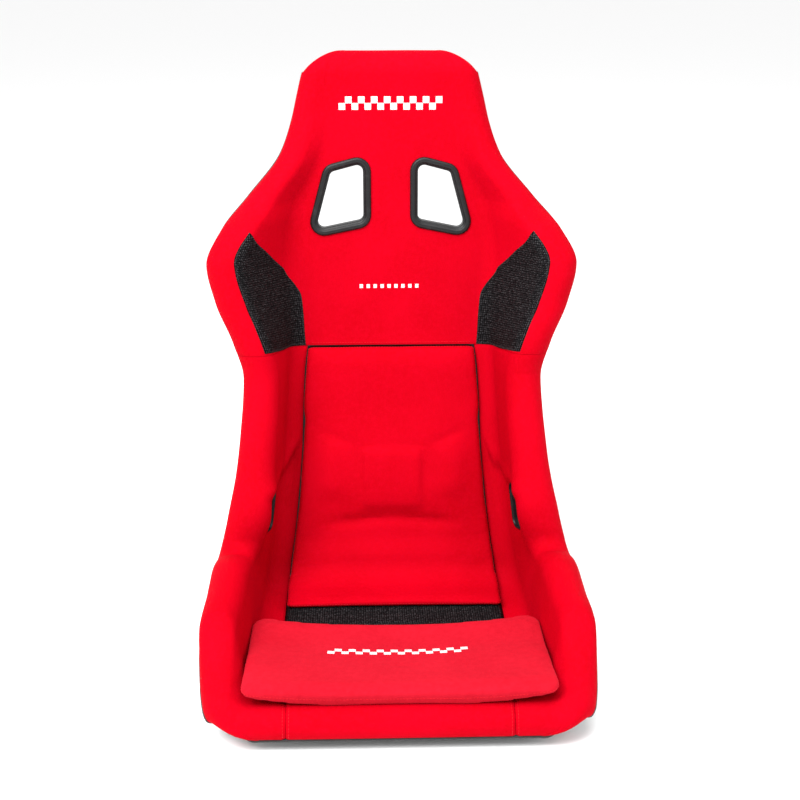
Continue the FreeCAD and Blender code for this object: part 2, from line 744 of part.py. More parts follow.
FOOT_BASE = SEAT_PAD_HEIGHT + BODY_GAP
BACK_FOOT = HIP - HIP_RADIUS * 0.9
BACK_TOP = SEAM - CUSHION_TOP_GAP
LUMBAR_PEAK = BACK + HIP_RISE + LUMBAR_RISE * 0.45

# Heights of the back cushion over the covered surface: base, edge and crown
BACK_STATIONS = [
    (BACK_FOOT, FOOT_BASE, FOOT_EDGE, FOOT_CROWN),
    (HIP + HIP_RADIUS * 0.5, FOOT_BASE, FOOT_EDGE, FOOT_CROWN + 1),
    (BACK, 0.0, FOOT_EDGE - 2, FOOT_CROWN + 1),
    (BACK + HIP_RISE * 0.7, -CUSHION_SEAT, BACK_EDGE, BACK_CROWN - 2),
    (LUMBAR_PEAK, -CUSHION_SEAT, BACK_EDGE, LUMBAR_CROWN),
    (LUMBAR, -CUSHION_SEAT, BACK_EDGE, LUMBAR_CROWN - 3),
    (WAIST - WAIST_RISE / 3, -CUSHION_SEAT, BACK_EDGE, BACK_CROWN),
    (WAIST, -CUSHION_SEAT, BACK_EDGE, BACK_CROWN),
    (BACK_TOP, -CUSHION_SEAT, BACK_EDGE - 4, BACK_CROWN - 5),
]


def back_cushion(inset):
    places, bases, edges, crowns = zip(*BACK_STATIONS)
    wires = []
    for s, share in cushion_rows(BACK_FOOT, BACK_TOP, inset):
        plane = Plane(s, 0.0)
        base, edge, crown = [smooth_between(places, heights, s)
                             for heights in (bases, edges, crowns)]
        if base < 0:
            base *= plane.lean
        wires.append(cushion_wire(plane, tray_edge(s) - TRAY_GAP, base, edge, crown, inset, share))
    return loft(wires)


save_cushion("back_cushion", back_cushion)

SEAT_PAD_BASE = PADDING - GLUE_LINE


def seat_pad(inset):
    wires = []
    for s, share in cushion_rows(SEAT_PAD_FRONT, SEAT_PAD_REAR, inset):
        plane = Plane(s, 0.0)
        wires.append(cushion_wire(plane, tray_edge(s) - TRAY_GAP, -SEAT_PAD_BASE * plane.lean,
                                  SEAT_PAD_HEIGHT - 2, SEAT_PAD_HEIGHT, inset, share))
    return loft(wires)


save_cushion("seat_pad", seat_pad,
             [crotch_window(GROMMET_FLANGE + TRAY_GAP + grow)
              for grow in (0.0, CUSHION_FABRIC, CUSHION_FABRIC + CUSHION_GAP)])

THIGH_REAR = pan_distance(THIGH_REAR_Y)
THIGH_FRONT = pan_distance(THIGH_FRONT_Y)


def wall_x_at(plane, n):
    """x of the inside of the side wall at a height over the floor."""
    run = FILLET if plane.on_run(FILLET, 1)[1] > n else WALL
    low, high = 0.0, 1.0
    for _ in range(30):
        middle = (low + high) / 2
        if plane.on_run(run, middle)[1] < n:
            low = middle
        else:
            high = middle
    return plane.on_run(run, low)[0]


def thigh_wire(s, inset, share):
    """Dished section: its ends ride up over the fillets of the side padding."""
    plane = Plane(s, 0.0)
    t = (s - THIGH_FRONT) / (THIGH_REAR - THIGH_FRONT)
    step = SEAT_PAD_FRONT - LIP_PANEL_END
    onto_pad = min(1.0, max(0.0, (s - LIP_PANEL_END) / step))
    base = BODY_GAP + SEAT_PAD_HEIGHT * onto_pad
    top = THIGH_FRONT_TOP + (THIGH_REAR_TOP - THIGH_FRONT_TOP) * t
    high = top + THIGH_FRONT_DISH + (THIGH_REAR_DISH - THIGH_FRONT_DISH) * t
    low = max(base + THIGH_SIDE_LIFT * t, high - THIGH_TIP)
    tip = min(THIGH_TOP_HALF, wall_x_at(plane, low) - TRAY_GAP) - inset
    tip -= CUSHION_CORNER * (1 - share)
    base, top = drawn_in([base + inset, top - inset], (base + top) / 2, share)
    low, high = drawn_in([low + inset, high - inset], (low + high) / 2, share)
    half = THIGH_BASE_HALF - inset / 2
    r = (high - low) / 2
    right = [((half, base), ((half + tip - r) / 2, (base * 2 + low) / 3), (tip - r, low)),
             ((tip - r, low), (tip, (low + high) / 2), (tip - r, high))]
    crown = ((tip - r, high), (0.0, top), (r - tip, high))
    bottom = ((-half, base), (half, base))
    return closed_wire(plane, [bottom] + right + [crown] + reverse(mirror_points(right)))


def thigh_cushion(inset):
    return loft([thigh_wire(s, inset, share)
                 for s, share in cushion_rows(THIGH_FRONT, THIGH_REAR, inset)])


save_cushion("thigh_cushion", thigh_cushion)


# Hook and loop tape: loop side glued to the shell, hook side sewn to the cushion's back
def tape_pair(near, far):
    low, high = TAPE_OFFSET - TAPE_WIDTH / 2, TAPE_OFFSET + TAPE_WIDTH / 2
    right = floor_strip(BACK + HIP_RISE * 1.3, WAIST, near, far, low, high)
    return Part.makeCompound([right, mirrored(right)])


LOOP_NEAR = PADDING - GLUE_LINE / 2 - TAPE
save("back_loop_tape", tape_pair(LOOP_NEAR, PADDING - GLUE_LINE / 2))
HOOK_FAR = CUSHION_SEAT + GLUE_LINE / 2 + TAPE
save("back_hook_tape", tape_pair(CUSHION_SEAT + GLUE_LINE / 2, HOOK_FAR))
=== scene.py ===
import math

import bmesh
import bpy
import numpy as np
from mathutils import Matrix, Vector
from mathutils.bvhtree import BVHTree


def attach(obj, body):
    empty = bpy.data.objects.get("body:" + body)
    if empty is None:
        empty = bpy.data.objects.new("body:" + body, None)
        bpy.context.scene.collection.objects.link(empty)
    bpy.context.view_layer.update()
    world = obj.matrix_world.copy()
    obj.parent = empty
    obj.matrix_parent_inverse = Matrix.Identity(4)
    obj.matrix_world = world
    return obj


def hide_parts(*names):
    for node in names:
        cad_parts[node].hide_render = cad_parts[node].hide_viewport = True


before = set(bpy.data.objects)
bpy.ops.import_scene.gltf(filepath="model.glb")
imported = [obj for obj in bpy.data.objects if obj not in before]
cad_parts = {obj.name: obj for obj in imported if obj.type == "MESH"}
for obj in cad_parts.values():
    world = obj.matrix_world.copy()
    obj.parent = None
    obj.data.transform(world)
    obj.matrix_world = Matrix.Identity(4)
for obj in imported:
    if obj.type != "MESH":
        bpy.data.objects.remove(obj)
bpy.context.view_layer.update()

# Shell: one glass-fibre moulding in black gelcoat, 4 mm thick, that carries everything else.
# Its side profile is a chain of straight and round runs. In what follows s is the length along
# it from the front lip, x the place across and n the height over it, all in millimetres.
MM = 0.001
PROFILE = [(28 * math.radians(135), -1 / 28), (120, 0), (260 * math.radians(16), 1 / 260),
           (178, 0), (55 * math.radians(68), 1 / 55), (816, math.radians(24.5) / 816),
           (34 * math.radians(150), -1 / 34)]
PAN_REAR = (93.0, 19.0)


def run_starts():
    """Start, y, z, heading and curve of each run, and the length of them all."""
    y, z, heading, at = 0.0, 0.0, math.radians(119), 0.0
    starts = []
    for length, curve in PROFILE:
        starts.append((at, y, z, heading, curve))
        at += length
        end = heading + curve * length
        if curve:
            y += (math.sin(end) - math.sin(heading)) / curve
            z -= (math.cos(end) - math.cos(heading)) / curve
        else:
            y += length * math.cos(heading)
            z += length * math.sin(heading)
        heading = end
    shift = (PAN_REAR[0] - starts[4][1], PAN_REAR[1] - starts[4][2])
    return np.array([(a, y + shift[0], z + shift[1], h, k) for a, y, z, h, k in starts]), at


STARTS, TOP_END = run_starts()
LIP, RAMP, _, PAN, HIP, BACK, CROWN = STARTS[:, 0]


def middle_line(s):
    """y, z and heading of the covered surface's middle line."""
    run = np.clip(np.searchsorted(STARTS[:, 0], s, side="right") - 1, 0, len(PROFILE) - 1)
    at, y, z, heading, curve = np.moveaxis(STARTS[run], -1, 0)
    end = heading + curve * (s - at)
    bend = np.where(curve == 0, 1, curve)
    dy = np.where(curve == 0, (s - at) * np.cos(heading), (np.sin(end) - np.sin(heading)) / bend)
    dz = np.where(curve == 0, (s - at) * np.sin(heading), (np.cos(heading) - np.cos(end)) / bend)
    return y + dy, z + dz, end


LUMBAR, WAIST, RIB, CHEST, SHOULDER = BACK + 200, BACK + 330, BACK + 390, BACK + 460, BACK + 525
YOKE, SLOPE, NECK, HEAD, TEMPLE = BACK + 578, BACK + 620, BACK + 690, BACK + 740, BACK + 780
# Where a section stands, half width, wall angle, wall, rolled edge, fillet and skirt
SECTIONS = np.array([
    (LIP, 223, 3, 3, 23, 24, 1), (RAMP * 0.18, 245, 4, 3, 23, 24, 1),
    (RAMP * 0.5, 263, 9, 7, 24, 26, 2), (RAMP * 0.88, 272.5, 29, 14, 25, 28, 4),
    (RAMP + 30, 282, 57, 28, 26, 28, 8), (RAMP + 90, 288, 80, 66, 27, 30, 21),
    (PAN, 285.5, 83, 84, 29, 32, 28), (HIP, 284.5, 83, 98, 30, 32, 30),
    (BACK + 60, 268, 83, 96, 30, 30, 22), (LUMBAR, 250, 84, 82, 30, 28, 28),
    (WAIST, 241, 82, 76, 29, 24, 30), (RIB, 255, 74, 90, 31, 29, 30),
    (CHEST, 282, 63, 104, 33, 34, 30), (SHOULDER, 295, 60, 108, 34, 36, 30),
    (YOKE, 272, 57, 80, 32, 33, 29), (SLOPE, 236, 47, 38, 30, 30, 28),
    (NECK, 180, 35, 21, 28, 26, 24), (HEAD, 161.5, 20, 17, 28, 30, 20),
    (TEMPLE, 151.5, 10, 12, 27, 30, 12), (CROWN, 142, 6, 7, 26, 28, 3.5),
    (CROWN + 20.4, 135, 5, 6, 26, 28, 3), (CROWN + 57.8, 106, 3, 4, 26, 26, 2),
    (TOP_END, 90, 3, 3, 26, 26, 2)])


def smooth_between(places, values, x):
    """Monotone cubic curve through the values."""
    places, values = np.asarray(places, float), np.asarray(values, float)
    steps, rates = np.diff(places), np.diff(values) / np.diff(places)
    slopes = np.zeros(len(places))
    slopes[0], slopes[-1] = rates[0], rates[-1]
    for i in range(1, len(rates)):
        if rates[i - 1] * rates[i] > 0:
            first, second = 2 * steps[i] + steps[i - 1], steps[i] + 2 * steps[i - 1]
            slopes[i] = (first + second) / (first / rates[i - 1] + second / rates[i])
    x = np.clip(x, places[0], places[-1])
    i = np.clip(np.searchsorted(places, x, side="right") - 1, 0, len(steps) - 1)
    t = (x - places[i]) / steps[i]
    rise = values[i + 1] - values[i]
    bend_in = steps[i] * slopes[i] - rise
    bend_out = rise - steps[i] * slopes[i + 1]
    return values[i] + t * rise + t * (1 - t) * ((1 - t) * bend_in + t * bend_out)


def plane_angle(s):
    """Direction of a section's plane, fanned evenly round the hip."""
    square = middle_line(s)[2] + math.pi / 2
    low, high = np.array([RAMP + 20.0]), np.array([LUMBAR + 30.0])
    first, last = (middle_line(place)[2][0] + math.pi / 2 for place in (low, high))
    t = np.clip((s - low[0]) / (high[0] - low[0]), 0, 1)
    fanned = first + (last - first) * (t + t * t * (3 - 2 * t)) / 2
    return np.where((t > 0) & (t < 1), fanned, square)


def lean_of(s):
    """How much longer a depth is along a section's plane than square to the surface."""
    return 1 / np.cos(plane_angle(s) - middle_line(s)[2] - math.pi / 2)


def on_plane(s, x, n):
    """Points at x across and n above the middle line, in metres."""
    y, z, _ = middle_line(s)
    angle = plane_angle(s)
    return np.stack([x + 0 * y, y + n * np.cos(angle), z + n * np.sin(angle)], -1) * MM


def section_point(s, v, depth):
    """x and n on a section. v runs 0 to 5 over the floor, fillet, wall, roll and skirt."""
    side, v = np.sign(v), np.abs(v)
    half, tilt, wall, roll, fillet, skirt = (
        smooth_between(SECTIONS[:, 0], SECTIONS[:, i], s) for i in range(1, 7))
    tilt = np.radians(tilt)
    lean = lean_of(s)
    wall = wall + depth * (lean - 1) / np.sin(tilt)
    fillet, roll = fillet + depth, roll - depth
    floor = (half - depth - fillet * np.sin(tilt) - wall * np.cos(tilt)
             - roll * (1 + np.sin(tilt)))
    a, b, c, d, e = (np.clip(v - run, 0, 1) for run in range(5))
    turn = tilt - d * (tilt + math.pi / 2)
    x = a * floor + fillet * np.sin(b * tilt) + c * wall * np.cos(tilt)
    x = x + roll * (np.sin(tilt) - np.sin(turn))
    n = fillet * (1 - np.cos(b * tilt)) + c * wall * np.sin(tilt)
    n = n + roll * (np.cos(turn) - np.cos(tilt)) - e * skirt - depth * lean
    return side * x, n


def skin(s, v, depth=0.0):
    """Points at a depth under the covered surface, in metres."""
    s, v, depth = np.broadcast_arrays(*(np.asarray(i, float) for i in (s, v, depth)))
    return on_plane(s, *section_point(s, v, depth))


def lay_cloth(mesh, uv):
    """Gives a mesh its cloth's map, from the place of each point on the cloth."""
    layer = mesh.uv_layers.new(name="cloth")
    corners = np.empty(len(mesh.loops), int)
    mesh.loops.foreach_get("vertex_index", corners)
    layer.data.foreach_set("uv", np.asarray(uv, float).reshape(-1, 2)[corners].ravel())


def placed(name, data):
    """Puts a new object in the scene."""
    thing = bpy.data.objects.new(name, data)
    bpy.context.scene.collection.objects.link(thing)
    return thing


def make_piece(name, points, faces, uv=None):
    """Mesh object from points, with faces turned outwards and smooth shading."""
    mesh = bpy.data.meshes.new(name)
    mesh.from_pydata(np.asarray(points).reshape(-1, 3).tolist(), [], faces)
    if uv is not None:
        lay_cloth(mesh, uv)
    shaped = bmesh.new()
    shaped.from_mesh(mesh)
    bmesh.ops.recalc_face_normals(shaped, faces=shaped.faces)
    shaped.to_mesh(mesh)
    shaped.free()
    mesh.shade_smooth()
    return placed(name, mesh)


def slab(name, top, bottom, uv=None):
    """Closed piece between two grids of points."""
    rows, columns = top.shape[:2]
    index = np.arange(rows * columns).reshape(rows, columns)
    quads = np.stack([index[:-1, :-1], index[:-1, 1:], index[1:, 1:], index[1:, :-1]], -1)
    quads = quads.reshape(-1, 4)
    rim = np.concatenate([index[0, :-1], index[:-1, -1], index[-1, :0:-1], index[:0:-1, 0]])
    after = np.roll(rim, -1)
    shift = rows * columns
    walls = np.stack([rim, after, after + shift, rim + shift], -1)
    faces = np.concatenate([quads, quads[:, ::-1] + shift, walls[:, ::-1]])
    points = np.concatenate([top.reshape(-1, 3), bottom.reshape(-1, 3)])
    if uv is not None:
        uv = np.concatenate([uv.reshape(-1, 2)] * 2)
    return make_piece(name, points, faces.tolist(), uv)


def columns(*counts):
    """v of each column of half a section, with a number of steps on each of its five runs."""
    return np.concatenate([[0.0]] + [
        np.linspace(run, run + 1, steps + 1)[1:] for run, steps in enumerate(counts)])


def both_sides(v):
    """The columns of a whole section, from those of half of it."""
    return np.concatenate([-v[::-1], v[v > 0]])


TURN_STEPS, SIDE_STEPS = 6, 8


def rounded(corners, grow, radius):
    """Points round a polygon with rounded corners, its sides moved outwards by grow."""
    corners = np.asarray(corners, float)
    after = np.roll(corners, -1, 0)
    area = np.sum(corners[:, 0] * after[:, 1] - after[:, 0] * corners[:, 1])
    along = (after - corners) / np.linalg.norm(after - corners, axis=1)[:, None]
    out = np.stack([along[:, 1], -along[:, 0]], -1) * np.sign(area)
    level = np.sum(out * corners, 1) + grow - (radius + grow)
    before = np.roll(out, 1, 0)
    cross = before[:, 0] * out[:, 1] - before[:, 1] * out[:, 0]
    last = np.roll(level, 1)
    centre = np.stack([(last * out[:, 1] - level * before[:, 1]) / cross,
                       (before[:, 0] * level - out[:, 0] * last) / cross], -1)
    loop = []
    for i in range(len(corners)):
        low = math.atan2(before[i, 1], before[i, 0])
        turn = math.atan2(cross[i], float(before[i] @ out[i]))
        for step in range(TURN_STEPS + 1):
            angle = low + turn * step / TURN_STEPS
            loop.append(centre[i] + (radius + grow) * np.array([math.cos(angle), math.sin(angle)]))
        start = loop[-1]
        stop = centre[(i + 1) % len(corners)] + (radius + grow) * out[i]
        loop += [start + (stop - start) * step / SIDE_STEPS for step in range(1, SIDE_STEPS)]
    return np.array(loop)


def prism(loop, axis, low, high):
    """Cutter with a loop's outline, through the part along one axis."""
    others = [i for i in range(3) if i != axis]
    points = np.zeros((2, len(loop), 3))
    points[:, :, others] = loop
    points[0, :, axis], points[1, :, axis] = low, high
    count = len(loop)
    faces = [list(range(count)), list(range(count, 2 * count))[::-1]]
    faces += [[i, (i + 1) % count, (i + 1) % count + count, i + count] for i in range(count)]
    return make_piece("cutter", points * MM, faces)


def settle(piece):
    """Replaces a piece's mesh by its evaluated one, and takes its modifiers off."""
    graph = bpy.context.evaluated_depsgraph_get()
    graph.update()
    mesh = bpy.data.meshes.new_from_object(piece.evaluated_get(graph), depsgraph=graph)
    piece.modifiers.clear()
    piece.data = mesh


CREASE = math.radians(38)


def cut(piece, cutters):
    """Takes cutters out of a piece and removes them."""
    for cutter in cutters:
        boolean = piece.modifiers.new("cut", "BOOLEAN")
        boolean.operation, boolean.object, boolean.solver = "DIFFERENCE", cutter, "EXACT"
        settle(piece)
        bpy.data.objects.remove(cutter)
    piece.data.shade_smooth()
    piece.data.set_sharp_from_angle(angle=CREASE)
    return piece


SHOULDER_SLOT = [(45, 618), (45, 711), (98, 697), (124, 602)]
LAP_SLOT = [(84, 144), (84, 200), (134, 212), (120, 134)]
CROTCH_SLOT = [(-45, -49), (45, -49), (45, -19), (-45, -19)]
SLOT_CORNER, LAP_CORNER, COLLAR = 10.0, 12.0, 2.9
BACK_REACH, SIDE_REACH, PAN_REACH = (150, 400), (170, 247), (-10, 80)
SIDES = (("right", 1), ("left", -1))


def shoulder_cutters(grow):
    loop = rounded(SHOULDER_SLOT, grow, SLOT_CORNER)
    return [prism(loop * np.array([side, 1]), 1, *BACK_REACH) for _, side in SIDES]


def lap_cutter(grow, side):
    low, high = sorted(side * reach for reach in SIDE_REACH)
    return prism(rounded(LAP_SLOT, grow, LAP_CORNER), 0, low, high)


def crotch_cutter(grow):
    return prism(rounded(CROTCH_SLOT, grow, SLOT_CORNER), 2, *PAN_REACH)


SHELL_TOP, SHELL_UNDER = 12.0, 16.0
rows = np.linspace(LIP, TOP_END, 190)[:, None]
across = both_sides(columns(22, 8, 14, 14, 5))[None, :]
shell = slab("shell_moulding", skin(rows, across, SHELL_TOP), skin(rows, across, SHELL_UNDER))
cut(shell, [*shoulder_cutters(COLLAR), *(lap_cutter(COLLAR, side) for _, side in SIDES),
            crotch_cutter(COLLAR)])


def join(pieces):
    """Joins pieces into the first one."""
    joined = bmesh.new()
    for piece in pieces:
        joined.from_mesh(piece.data)
    joined.to_mesh(pieces[0].data)
    joined.free()
    for piece in pieces[1:]:
        bpy.data.objects.remove(piece)
    return pieces[0]


S_GRID, V_GRID, S_STEP, V_STEP, S_MOST, V_MOST = 4.0, 0.04, 0.5, 0.004, 6, 0.1


def find(target, axes, s_range, v_range, depth=0.0):
    """s and v of the skin's points whose coordinates on two axes are given, in millimetres."""
    s_grid, v_grid = np.meshgrid(np.arange(*s_range, S_GRID), np.arange(*v_range, V_GRID))
    known = skin(s_grid.ravel(), v_grid.ravel(), depth)[:, axes] / MM
    target = np.asarray(target, float).reshape(-1, 2)
    nearest = [np.argmin(np.sum((known - point) ** 2, 1)) for point in target]
    s, v = s_grid.ravel()[nearest], v_grid.ravel()[nearest]
    for _ in range(6):
        here = skin(s, v, depth)[:, axes] / MM
        by_s = (skin(s + S_STEP, v, depth)[:, axes] / MM - here) / S_STEP
        by_v = (skin(s, v + V_STEP, depth)[:, axes] / MM - here) / V_STEP
        miss = target - here
        size = by_s[:, 0] * by_v[:, 1] - by_s[:, 1] * by_v[:, 0]
        size = np.where(np.abs(size) < 1e-6, 1e-6, size)
        s_move = (miss[:, 0] * by_v[:, 1] - miss[:, 1] * by_v[:, 0]) / size
        v_move = (by_s[:, 0] * miss[:, 1] - by_s[:, 1] * miss[:, 0]) / size
        s = s + np.clip(s_move, -S_MOST, S_MOST)
        v = np.clip(v + np.clip(v_move, -V_MOST, V_MOST), *v_range)
    return s, v


RUNNER_Y, RUNNER_X, RUNNER_END, RUNNER_EDGE, RUNNER_ROUND = (-80, 152), (89, 131), 4, 5.25, 1.6
IN_LAMINATE = 14.0


def runner(x_low, x_high):
    """Moulded foot under the pan, from its underside down to the standing plane."""
    y = np.linspace(*RUNNER_Y, 60)
    line = np.linspace(RAMP + 60, LUMBAR, 400)
    under = skin(line, 0.5, IN_LAMINATE) / MM
    top_z = np.interp(y, under[:, 1], under[:, 2])
    x = np.linspace(x_low, x_high, 9)
    grid_y, grid_x = np.meshgrid(y, x, indexing="ij")
    edge = np.minimum(np.minimum(grid_x - x_low, x_high - grid_x) / RUNNER_EDGE, 1)
    ends = np.minimum(np.minimum(grid_y - RUNNER_Y[0], RUNNER_Y[1] - grid_y) / RUNNER_END, 1)
    bottom = RUNNER_ROUND * (1 - np.sqrt(np.clip(np.minimum(edge, ends), 0, 1)))
    top = np.broadcast_to(top_z[:, None], grid_x.shape)
    return slab("runner", np.stack([grid_x, grid_y, top], -1) * MM,
                np.stack([grid_x, grid_y, bottom], -1) * MM)


MOUNT_X, MOUNT_Z, MOUNT_Y = 246.476, 62.0, (-167.0, 123.0)
PAD_END, PAD_HALF, PAD_RIM, PAD_ROUND, PAD_LEAST = 24, 22, 3, 2.0, 4
BORE_RADIUS, BORE_DEPTH, BORE_OVER = 7.1, 10, 5


def mount_pad(side):
    """Flat pad moulded on the side wall, that the seat bracket bolts to."""
    y = np.linspace(MOUNT_Y[0] - PAD_END, MOUNT_Y[1] + PAD_END, 100)
    z = np.linspace(MOUNT_Z - PAD_HALF, MOUNT_Z + PAD_HALF, 20)
    grid_y, grid_z = np.meshgrid(y, z, indexing="ij")
    flat = np.stack([grid_y, grid_z], -1).reshape(-1, 2)
    s, v = find(flat, [1, 2], (RAMP, LUMBAR), (0.9, 3.2), IN_LAMINATE)
    wall_x = (skin(s, v, IN_LAMINATE)[:, 0] / MM).reshape(grid_y.shape)
    wall_x = np.minimum(wall_x, MOUNT_X - PAD_LEAST)
    gap = np.minimum(np.minimum(grid_y - y[0], y[-1] - grid_y),
                     np.minimum(grid_z - z[0], z[-1] - grid_z))
    face_x = MOUNT_X - PAD_ROUND * (1 - np.sqrt(np.clip(gap / PAD_RIM, 0, 1)))
    return slab("pad", np.stack([side * face_x, grid_y, grid_z], -1) * MM,
                np.stack([side * wall_x, grid_y, grid_z], -1) * MM)


pads = []
for _, side in SIDES:
    pad = mount_pad(side)
    bores = []
    for y in MOUNT_Y:
        turn = np.linspace(0, 2 * math.pi, 33)[:-1]
        bore = np.stack([y + BORE_RADIUS * np.cos(turn), MOUNT_Z + BORE_RADIUS * np.sin(turn)], -1)
        low, high = sorted((side * (MOUNT_X - BORE_DEPTH), side * (MOUNT_X + BORE_OVER)))
        bores.append(prism(bore, 0, low, high))
    pads.append(cut(pad, bores))
join([shell, *pads, runner(*RUNNER_X), runner(-RUNNER_X[1], -RUNNER_X[0])])


class Sock:
    """One output socket of a node, which can be used in arithmetic."""

    def __init__(self, tree, socket):
        self.tree, self.socket = tree, socket

    def node(self, kind, settings=None, inputs=None, output=0):
        """Adds a node: its settings first, then the values or links of its inputs."""
        made = self.tree.nodes.new(kind)
        for name, value in (settings or {}).items():
            setattr(made, name, value)
        for name, value in (inputs or {}).items():
            if isinstance(value, Sock):
                self.tree.links.new(value.socket, made.inputs[name])
            else:
                made.inputs[name].default_value = value
        return Sock(self.tree, made.outputs[output])

    def beside(self, output):
        """Another output of the same node."""
        return Sock(self.tree, self.socket.node.outputs[output])

    def maths(self, operation, *values):
        return self.node("ShaderNodeMath", {"operation": operation}, dict(enumerate(values)))

    def __add__(self, other): return self.maths("ADD", self, other)
    def __radd__(self, other): return self.maths("ADD", other, self)
    def __sub__(self, other): return self.maths("SUBTRACT", self, other)
    def __rsub__(self, other): return self.maths("SUBTRACT", other, self)
    def __mul__(self, other): return self.maths("MULTIPLY", self, other)
    def __rmul__(self, other): return self.maths("MULTIPLY", other, self)

    def sine(self):
        return self.maths("SINE", self)

    def above(self, low, high):
        """0 under low, 1 over high, and smooth between."""
        return self.node("ShaderNodeMapRange", {"interpolation_type": "SMOOTHSTEP"},
                         {"Value": self, "From Min": low, "From Max": high})

    def part(self, axis):
        return self.node("ShaderNodeSeparateXYZ", None, {"Vector": self}, axis)

    def noise(self, scale, detail=2.0, roughness=0.5):
        return self.node("ShaderNodeTexNoise", None, {
            "Vector": self, "Scale": scale, "Detail": detail, "Roughness": roughness})

    def blend(self, low, high):
        """Colour between two colours, by this value."""
        mix = self.node("ShaderNodeMix", {"data_type": "RGBA"}, {0: self}, 2)
        made = mix.socket.node
        for name, colour in ((6, low), (7, high)):
            if isinstance(colour, Sock):
                self.tree.links.new(colour.socket, made.inputs[name])
            else:
                made.inputs[name].default_value = (*colour, 1)
        return mix

    def bump(self, strength, distance, under=None):
        inputs = {"Height": self, "Strength": strength, "Distance": distance}
        if under is not None:
            inputs["Normal"] = under
        return self.node("ShaderNodeBump", None, inputs)


def finish(name, make):
    """Material whose Principled shader gets the constants and sockets that make returns."""
    material = bpy.data.materials.new(name)
    material.use_nodes = True
    tree = material.node_tree
    shader = next(node for node in tree.nodes if node.type == "BSDF_PRINCIPLED")
    place = tree.nodes.new("ShaderNodeTexCoord")
    values = make(Sock(tree, place.outputs["Object"]), Sock(tree, place.outputs["UV"]))
    for socket, value in values.items():
        if isinstance(value, Sock):
            tree.links.new(value.socket, shader.inputs[socket])
        else:
            shader.inputs[socket].default_value = value
    return material


def paint(piece, material):
    piece.data.materials.clear()
    piece.data.materials.append(material)


def wear(piece, material, body="seat_shell"):
    """Gives a piece its material and the body that it moves with."""
    paint(piece, material)
    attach(piece, body)


def gelcoat_look(place, uv):
    ripple = place.noise(26, 3, 0.55)
    dust = place.noise(900, 2, 0.6)
    haze = place.noise(9, 4, 0.6).above(0.42, 0.68)
    return {"Base Color": haze.blend((0.0045, 0.0045, 0.0050), (0.010, 0.010, 0.011)),
            "Roughness": 0.24 + 0.12 * haze + 0.06 * dust, "Specular IOR Level": 0.32,
            "Coat Weight": 0.12, "Coat Roughness": 0.12,
            "Normal": dust.bump(0.06, 0.0002, ripple.bump(0.25, 0.0008))}


gelcoat = finish("black gelcoat", gelcoat_look)
wear(shell, gelcoat)
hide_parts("shell")

# Threaded inserts: zinc-plated steel, two moulded into each mount pad, for M8 bolts. They
# show as turned, from the solids themselves.
def zinc_look(place, uv):
    grain = place.noise(700, 3, 0.6)
    cloud = place.noise(120, 3, 0.5)
    return {"Base Color": cloud.blend((0.46, 0.46, 0.47), (0.66, 0.66, 0.66)),
            "Metallic": 1.0, "Roughness": 0.28 + 0.2 * grain,
            "Normal": grain.bump(0.15, 0.0002)}


zinc = finish("zinc-plated steel", zinc_look)
for name, _ in SIDES:
    paint(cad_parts["threaded_inserts_" + name], zinc)

# Upholstery: red knitted fabric stretched over grey foam and glued to the shell, in one panel
# for the shoulders and head, one for each side and one for the front lip.
PADDED = 11.6
SEAM, LIP_PANEL_END, SEAT_PAD_FRONT = WAIST + 42, RAMP + 42, RAMP + 60
RED = (0.42, 0.0002, 0.0068)
RED_SHADE = (0.375, 0.0001, 0.0048)
RED_FLUFF = (0.43, 0.0005, 0.0092)
# Depth and width of the fabric's turn at a hem, at the seam over the tray, along the tray's
# sides and along the lip panel's sides
HEM, SEAM_TURN, TRAY_TURN, LIP_TURN = (1.5, 3), (1.0, 2.2), (2.4, 2.4), (1.1, 2.4)
SEAM_GAP, SKIRT_END, SKIRT_SPAN = 0.2, 5, 25


def tray_half(s):
    """Half width of the tray between the side panels, where the loose cushions lie."""
    places = [LIP, RAMP, SEAT_PAD_FRONT, PAN, HIP, BACK, BACK + 60, BACK + 105, LUMBAR,
              WAIST - 50, WAIST, SEAM]
    halves = [158.5, 158.5, 178.5, 178.5, 178.5, 173.5, 165, 160.3, 152.2, 149, 146, 140.5]
    return smooth_between(places, halves, s)


def floor_half(s):
    """Half width of the flat part of a section."""
    return section_point(s, 1.0, 0.0)[0]


def bell(x, middle, width):
    """1 at the middle, and soft to 0 at both sides of it."""
    return np.exp(-((x - middle) / width) ** 2)


def edge_dip(distance, depth, width):
    """Depth by which the fabric turns down towards an edge."""
    return depth * np.exp(-(np.maximum(distance, 0) / width) ** 2)


def cloth_uv(points, s):
    """Lengths across and along the fabric, in metres."""
    steps = np.linalg.norm(np.diff(points, axis=1), axis=2)
    across = np.concatenate([np.zeros((len(points), 1)), np.cumsum(steps, 1)], 1)
    across = across - across[:, across.shape[1] // 2][:, None]
    return np.stack([across, np.broadcast_to(s * MM, across.shape)], -1)


